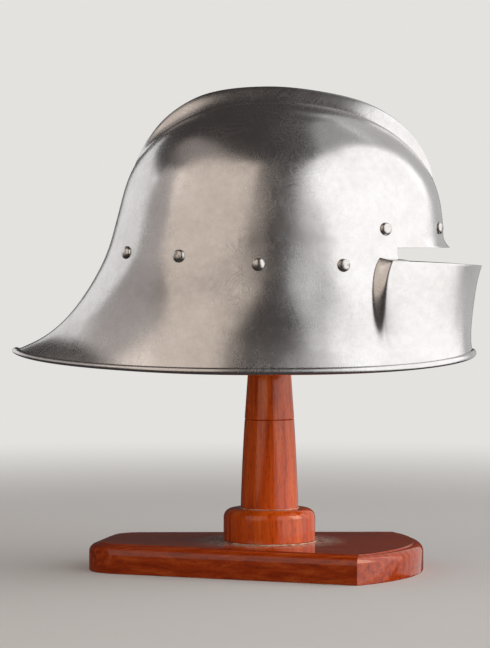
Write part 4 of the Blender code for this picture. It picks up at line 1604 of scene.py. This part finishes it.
@dataclass
class Post:
    """The turned post with its collar and the rest inside the crown."""

    board_thickness: float = 25.0 * MM
    collar_radius: float = 40.0 * MM
    collar_height: float = 28.5 * MM
    collar_round: float = 8.0 * MM
    foot_radius: float = 25.1 * MM
    joint_radius: float = 21.6 * MM
    joint_height: float = 131.5 * MM
    neck_radius: float = 15.0 * MM
    neck_height: float = 228.0 * MM
    spigot_radius: float = 9.0 * MM
    spigot_depth: float = 16.0 * MM
    rest_radius: float = 44.0 * MM
    rest_crown_radius: float = 105.0 * MM
    rest_depth: float = 22.0 * MM
    seat_gap: float = 0.3 * MM
    edge: float = 0.5 * MM
    collar_edge: float = 0.8 * MM
    belly: float = 0.35 * MM
    glue_width: float = 1.1 * MM
    glue_height: float = 0.7 * MM
    glue_lift: float = 0.02 * MM
    sides: int = 96

    def collar(self) -> bpy.types.Object:
        """Turns the collar: up its rounded outside, over the top and down its socket.

        Returns:
            The closed ring.
        """
        foot = self.board_thickness + self.seat_gap
        top = foot + self.collar_height
        socket = self.foot_radius + self.seat_gap
        centre = (self.collar_radius - self.collar_round, top - self.collar_round)
        edge = self.collar_edge
        outside = [Ring(self.collar_radius - edge, foot), Ring(self.collar_radius, foot + edge)]
        outside += [Ring(r, z) for r, z in arc(centre, self.collar_round, 0, 90, 10)]
        outline = outside + [Ring(socket + edge, top), Ring(socket, top - edge), Ring(socket, foot)]
        made = turned("turned_collar", outline, self.sides)

        def work(bm: bmesh.types.BMesh) -> None:
            """Opens the two flat ends and joins them into the ring's underside.

            Args:
                bm: The edit mesh.
            """
            select(bm, bm.faces, lambda face: len(face.verts) == self.sides)
            bpy.ops.mesh.delete(type="FACE")
            bpy.ops.mesh.select_mode(type="EDGE")
            bpy.ops.mesh.select_non_manifold(extend=False)
            bpy.ops.mesh.bridge_edge_loops()
            bpy.ops.mesh.select_mode(type="VERT")

        editing(made, work)
        face_outwards(made)
        smooth(made, 32.0)
        return made

    def lower(self) -> bpy.types.Object:
        """Turns the lower post with the socket for the upper one's spigot.

        Returns:
            The closed post.
        """
        foot = self.board_thickness + self.seat_gap
        top, bore = self.joint_height, self.spigot_radius + self.seat_gap
        depth = self.spigot_depth + self.seat_gap
        outline = [Ring(self.foot_radius, foot), Ring(self.foot_radius, foot + self.collar_height * 0.5),
                   Ring(self.foot_radius, foot + self.collar_height)]
        for share in (0.25, 0.5, 0.75):
            swell = self.belly * math.sin(math.pi * share)
            outline.append(Ring(self.foot_radius + (self.joint_radius - self.foot_radius) * share + swell,
                                foot + self.collar_height + (top - foot - self.collar_height) * share))
        outline += [Ring(self.joint_radius, top - self.edge), Ring(self.joint_radius - self.edge, top),
                    Ring(bore, top), Ring(bore, top - depth)]
        made = turned("turned_lower_post", outline, self.sides)
        smooth(made, 30.0)
        return made

    def glue_line(self, name: str, foot_radius: float, height: float) -> bpy.types.Object:
        """Models the thin uneven bead of dried glue round the foot of a turned piece.

        Args:
            name: The piece's name.
            foot_radius: The radius of the piece that it runs round.
            height: The height of the surface that it lies on.

        Returns:
            The closed ring.
        """
        across, up = self.glue_width / 2, self.glue_height / 2
        bpy.ops.object.select_all(action="DESELECT")
        bpy.ops.mesh.primitive_torus_add(
            major_segments=144, minor_segments=8, major_radius=foot_radius + across, minor_radius=1.0 * MM)
        made = named(name)
        middle = foot_radius + across
        for vertex in made.data.vertices:
            turn = math.atan2(vertex.co.y, vertex.co.x)
            reach = math.hypot(vertex.co.x, vertex.co.y) - middle
            swell = 0.75 + 0.55 * noise.noise(Vector((math.cos(turn), math.sin(turn), foot_radius * 40)) * 5)
            radius = middle - across * (1 - swell) + reach / MM * across * swell
            level = height + up * swell * (1 + vertex.co.z / MM) + self.glue_lift
            vertex.co = (radius * math.cos(turn), radius * math.sin(turn), level)
        face_outwards(made)
        smooth(made, 60.0)
        return made

    def upper(self, crown: float) -> bpy.types.Object:
        """Turns the upper post: spigot, tapered length, neck and rounded rest.

        Args:
            crown: The height of the rest's top.

        Returns:
            The closed post.
        """
        foot, edge = self.joint_height + self.seat_gap, self.edge
        fall = self.rest_crown_radius - math.sqrt(self.rest_crown_radius ** 2 - self.rest_radius ** 2)
        swing = math.degrees(math.asin(self.rest_radius / self.rest_crown_radius))
        dome = arc((0.0, crown - self.rest_crown_radius), self.rest_crown_radius, 90 - swing, 89.2, 10)
        under = crown - fall - self.rest_depth
        outline = [Ring(self.spigot_radius, self.joint_height - self.spigot_depth),
                   Ring(self.spigot_radius, foot), Ring(self.joint_radius - edge, foot),
                   Ring(self.joint_radius, foot + edge)]
        for share in (0.25, 0.5, 0.75, 1.0):
            outline.append(Ring(self.joint_radius + (self.neck_radius - self.joint_radius) * share,
                                foot + (self.neck_height - foot) * share))
        outline += [Ring(self.neck_radius, under - 3 * MM), Ring(self.neck_radius + 1 * MM, under - 1 * MM),
                    Ring(self.neck_radius + 3 * MM, under + 0.2 * MM),
                    Ring(self.rest_radius - 1 * MM, crown - fall - self.rest_depth * 0.4),
                    Ring(self.rest_radius, crown - fall - self.rest_depth * 0.3)]
        outline += [Ring(r, z) for r, z in dome]
        made = turned("turned_upper_post", outline, self.sides)
        smooth(made, 30.0)
        return made


# ---- The studio


class Corners(Enum):
    """The outline of a soft light."""

    SQUARE = "RECTANGLE"
    ROUND = "ELLIPSE"


class Lit(Enum):
    """What a soft light falls on."""

    ALL = "everything"
    HELMET = "everything but the stand"
    STAND = "the stand alone"


@dataclass(frozen=True)
class SoftBox:
    """One soft light: where it stands as seen from the helmet, how large and how strong it is."""

    name: str
    azimuth: float
    elevation: float
    distance: float
    width: float
    height: float
    power: float
    tint: str = "#FFFFFF"
    roll: float = 0.0
    corners: Corners = Corners.SQUARE
    lit: Lit = Lit.ALL

    def flag_off(self, made: bpy.types.Object, stand: Sequence[bpy.types.Object]) -> None:
        """Keeps the light off the stand, or off all but the stand, as a black flag would.

        Args:
            made: The light.
            stand: The pieces of the stand.
        """
        group = bpy.data.collections.new(f"{self.name} flag")
        for piece in stand:
            group.objects.link(piece)
        for member in group.collection_objects:
            member.light_linking.link_state = "INCLUDE" if self.lit is Lit.STAND else "EXCLUDE"
        made.light_linking.receiver_collection = group

    def place(self, target: Vector, stand: Sequence[bpy.types.Object]) -> None:
        """Adds the light, turned to the target.

        Args:
            target: What its place is measured from.
            stand: The pieces of the stand.
        """
        azimuth, elevation = math.radians(self.azimuth), math.radians(self.elevation)
        level = self.distance * math.cos(elevation)
        away = Vector((math.sin(azimuth) * level, -math.cos(azimuth) * level,
                       self.distance * math.sin(elevation)))
        data = bpy.data.lights.new(self.name, "AREA")
        data.shape = self.corners.value
        data.size, data.size_y = self.width, self.height
        data.energy = self.power
        data.color = linear(self.tint)[:3]
        made = bpy.data.objects.new(self.name, data)
        made.location = target + away
        made.rotation_euler = ((-away).to_track_quat("-Z", "Y").to_matrix()
                               @ Matrix.Rotation(math.radians(self.roll), 3, "Z")).to_euler()
        made.visible_camera = False
        bpy.context.scene.collection.objects.link(made)
        if self.lit is not Lit.ALL:
            self.flag_off(made, stand)


@dataclass
class Studio:
    """Pale paper, soft boxes and the camera at the photograph's angle.

    The paper is neither mirrored in the steel nor casts shadows, and the room is dim to all but the camera, so
    that the steel keeps the dark bands that it shows in the photograph.
    """

    distance: float = 2.5
    camera_height: float = 285 * MM
    target: Vector = field(default_factory=lambda: Vector((-21.3 * MM, 0.0, 214.4 * MM)))
    frame_height: float = 648 * 0.872 * MM
    sensor_mm: float = 36.0
    sight_range: float = 60.0
    paper_radius: float = 30.0
    room_tone: str = "#CDC2C0"
    lit_place: Vector = field(default_factory=lambda: Vector((0.0, 0.0, 300 * MM)))
    boxes: tuple[SoftBox, ...] = (
        SoftBox("key dome right", 68.0, 13.0, 1.7, 4.4, 3.9, 30.0, corners=Corners.ROUND),
        SoftBox("key centre right", 69.0, 17.0, 1.7, 3.3, 3.2, 16.5, corners=Corners.ROUND),
        SoftBox("key spill above", 108.0, 65.0, 1.6, 1.3, 0.7, 0.8, corners=Corners.ROUND),
        SoftBox("warm box left", -38.0, 24.0, 1.8, 1.8, 2.05, 8.6, "#FFEFE0", roll=12.0),
        SoftBox("warm spill above", -80.0, 55.0, 1.7, 1.5, 0.5, 0.45, "#FFF2EA", corners=Corners.ROUND),
        SoftBox("fill box left", -78.0, 18.0, 1.8, 1.0, 1.6, 1.9, "#FFF6F2", lit=Lit.HELMET),
        SoftBox("edge box behind left", -124.0, 11.0, 1.7, 1.7, 1.4, 6.6, lit=Lit.HELMET),
        SoftBox("edge box behind right", 136.0, 18.0, 1.8, 1.7, 2.9, 8.0),
        SoftBox("stand box right", 76.0, 20.0, 1.7, 0.9, 1.2, 14.0, "#FFE2C8", lit=Lit.STAND),
    )
    ambient: float = 0.08
    stand: tuple[str, ...] = ("wooden_board", "turned_collar", "turned_lower_post", "turned_upper_post",
                              "glue_line_collar", "glue_line_post")

    def camera(self) -> None:
        """Adds the camera that frames the helmet as the photograph does."""
        data = bpy.data.cameras.new("camera")
        made = bpy.data.objects.new("camera", data)
        made.location = Vector((self.target.x, -self.distance, self.camera_height))
        sight = self.target - made.location
        made.rotation_euler = sight.to_track_quat("-Z", "Y").to_euler()
        data.sensor_fit = "VERTICAL"
        data.sensor_height = self.sensor_mm
        data.lens = self.sensor_mm * sight.length / self.frame_height
        data.clip_end = self.sight_range
        bpy.context.scene.collection.objects.link(made)
        bpy.context.scene.camera = made

    def paper(self) -> None:
        """Lays the pale paper: a round floor so wide that its edge meets the pale room at the horizon."""
        bpy.ops.object.select_all(action="DESELECT")
        bpy.ops.mesh.primitive_circle_add(vertices=96, radius=self.paper_radius, fill_type="NGON")
        made = named("pale_paper")
        made.data.materials.append(StudioPaper().make())
        made.visible_glossy = False
        made.visible_shadow = False

    def build(self) -> None:
        """Puts up the paper, the lights and the camera."""
        self.paper()
        stand = [bpy.data.objects[name] for name in self.stand]
        for box in self.boxes:
            box.place(self.lit_place, stand)
        world = bpy.data.worlds.new("dim studio")
        world.use_nodes = True
        tree = world.node_tree
        room = tree.nodes["Background"]
        room.inputs["Color"].default_value = linear(self.room_tone)
        room.inputs["Strength"].default_value = self.ambient
        wall = add_node(tree, "ShaderNodeBackground", {"Color": linear(StudioPaper().far_tone)})
        seen = add_node(tree, "ShaderNodeLightPath").outputs["Is Camera Ray"]
        both = add_node(tree, "ShaderNodeMixShader", {}, {0: seen, 1: room.outputs[0], 2: wall.outputs[0]})
        tree.links.new(both.outputs[0], tree.nodes["World Output"].inputs["Surface"])
        bpy.context.scene.world = world
        bpy.context.scene.view_settings.view_transform = "Standard"
        self.camera()


def dress() -> None:
    """Builds every piece of the helmet and of its stand."""
    form = HelmetForm(HelmetSizes())
    steel, inside, rivet_steel = PolishedSteel().make(), ForgedInside().make(), RivetSteel().make()
    skull = Skull(form).build()
    finish_piece(skull, Slot.STEEL, [steel, inside], "skull")
    for rivet, node in Rivets(form).build():
        finish_piece(rivet, Slot.RIVET, [rivet_steel], node)
    board, post = Board(), Post()
    upright = Euler((0.0, math.radians(90), 0.0))
    # The board takes the post's varnished wood in darker tones. Its grain and dust are the wood's own, but the
    # darkening all over is painted shade, standing in for the weaker light that falls on the board.
    board_wood_painted_darker = VarnishedWood(name="varnished board", dark="#762506", middle="#A43A0E", light="#BC5720",
                              grain=Euler((0.0, 0.0, board.turn)),
                              foot_radius=post.collar_radius, foot_width=30 * MM,
                              foot_height=board.thickness - 1 * MM).make()
    collar_wood = VarnishedWood(name="varnished collar", grain=upright, foot_radius=post.foot_radius,
                                foot_width=2.5 * MM,
                                foot_height=board.thickness + post.collar_height - 4 * MM).make()
    post_wood = VarnishedWood(name="varnished post", grain=upright).make()
    finish_piece(board.build(), Slot.WOOD, [board_wood_painted_darker], "base_board")
    finish_piece(post.collar(), Slot.WOOD, [collar_wood], "collar")
    finish_piece(post.lower(), Slot.WOOD, [post_wood], "post_lower")
    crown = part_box("post_upper")[1][2]
    finish_piece(post.upper(crown), Slot.WOOD, [post_wood], "post_upper")
    glue = DriedGlue().make()
    collar_top = board.thickness + post.seat_gap + post.collar_height
    for name, radius, height in (("glue_line_collar", post.collar_radius, board.thickness),
                                 ("glue_line_post", post.foot_radius, collar_top)):
        finish_piece(post.glue_line(name, radius, height), Slot.WOOD, [glue])


def main() -> None:
    """Loads the frame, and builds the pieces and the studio."""
    logging.basicConfig(level=logging.INFO, format="%(name)s: %(message)s")
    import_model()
    dress()
    Studio().build()


if __name__ == "__main__":
    main()
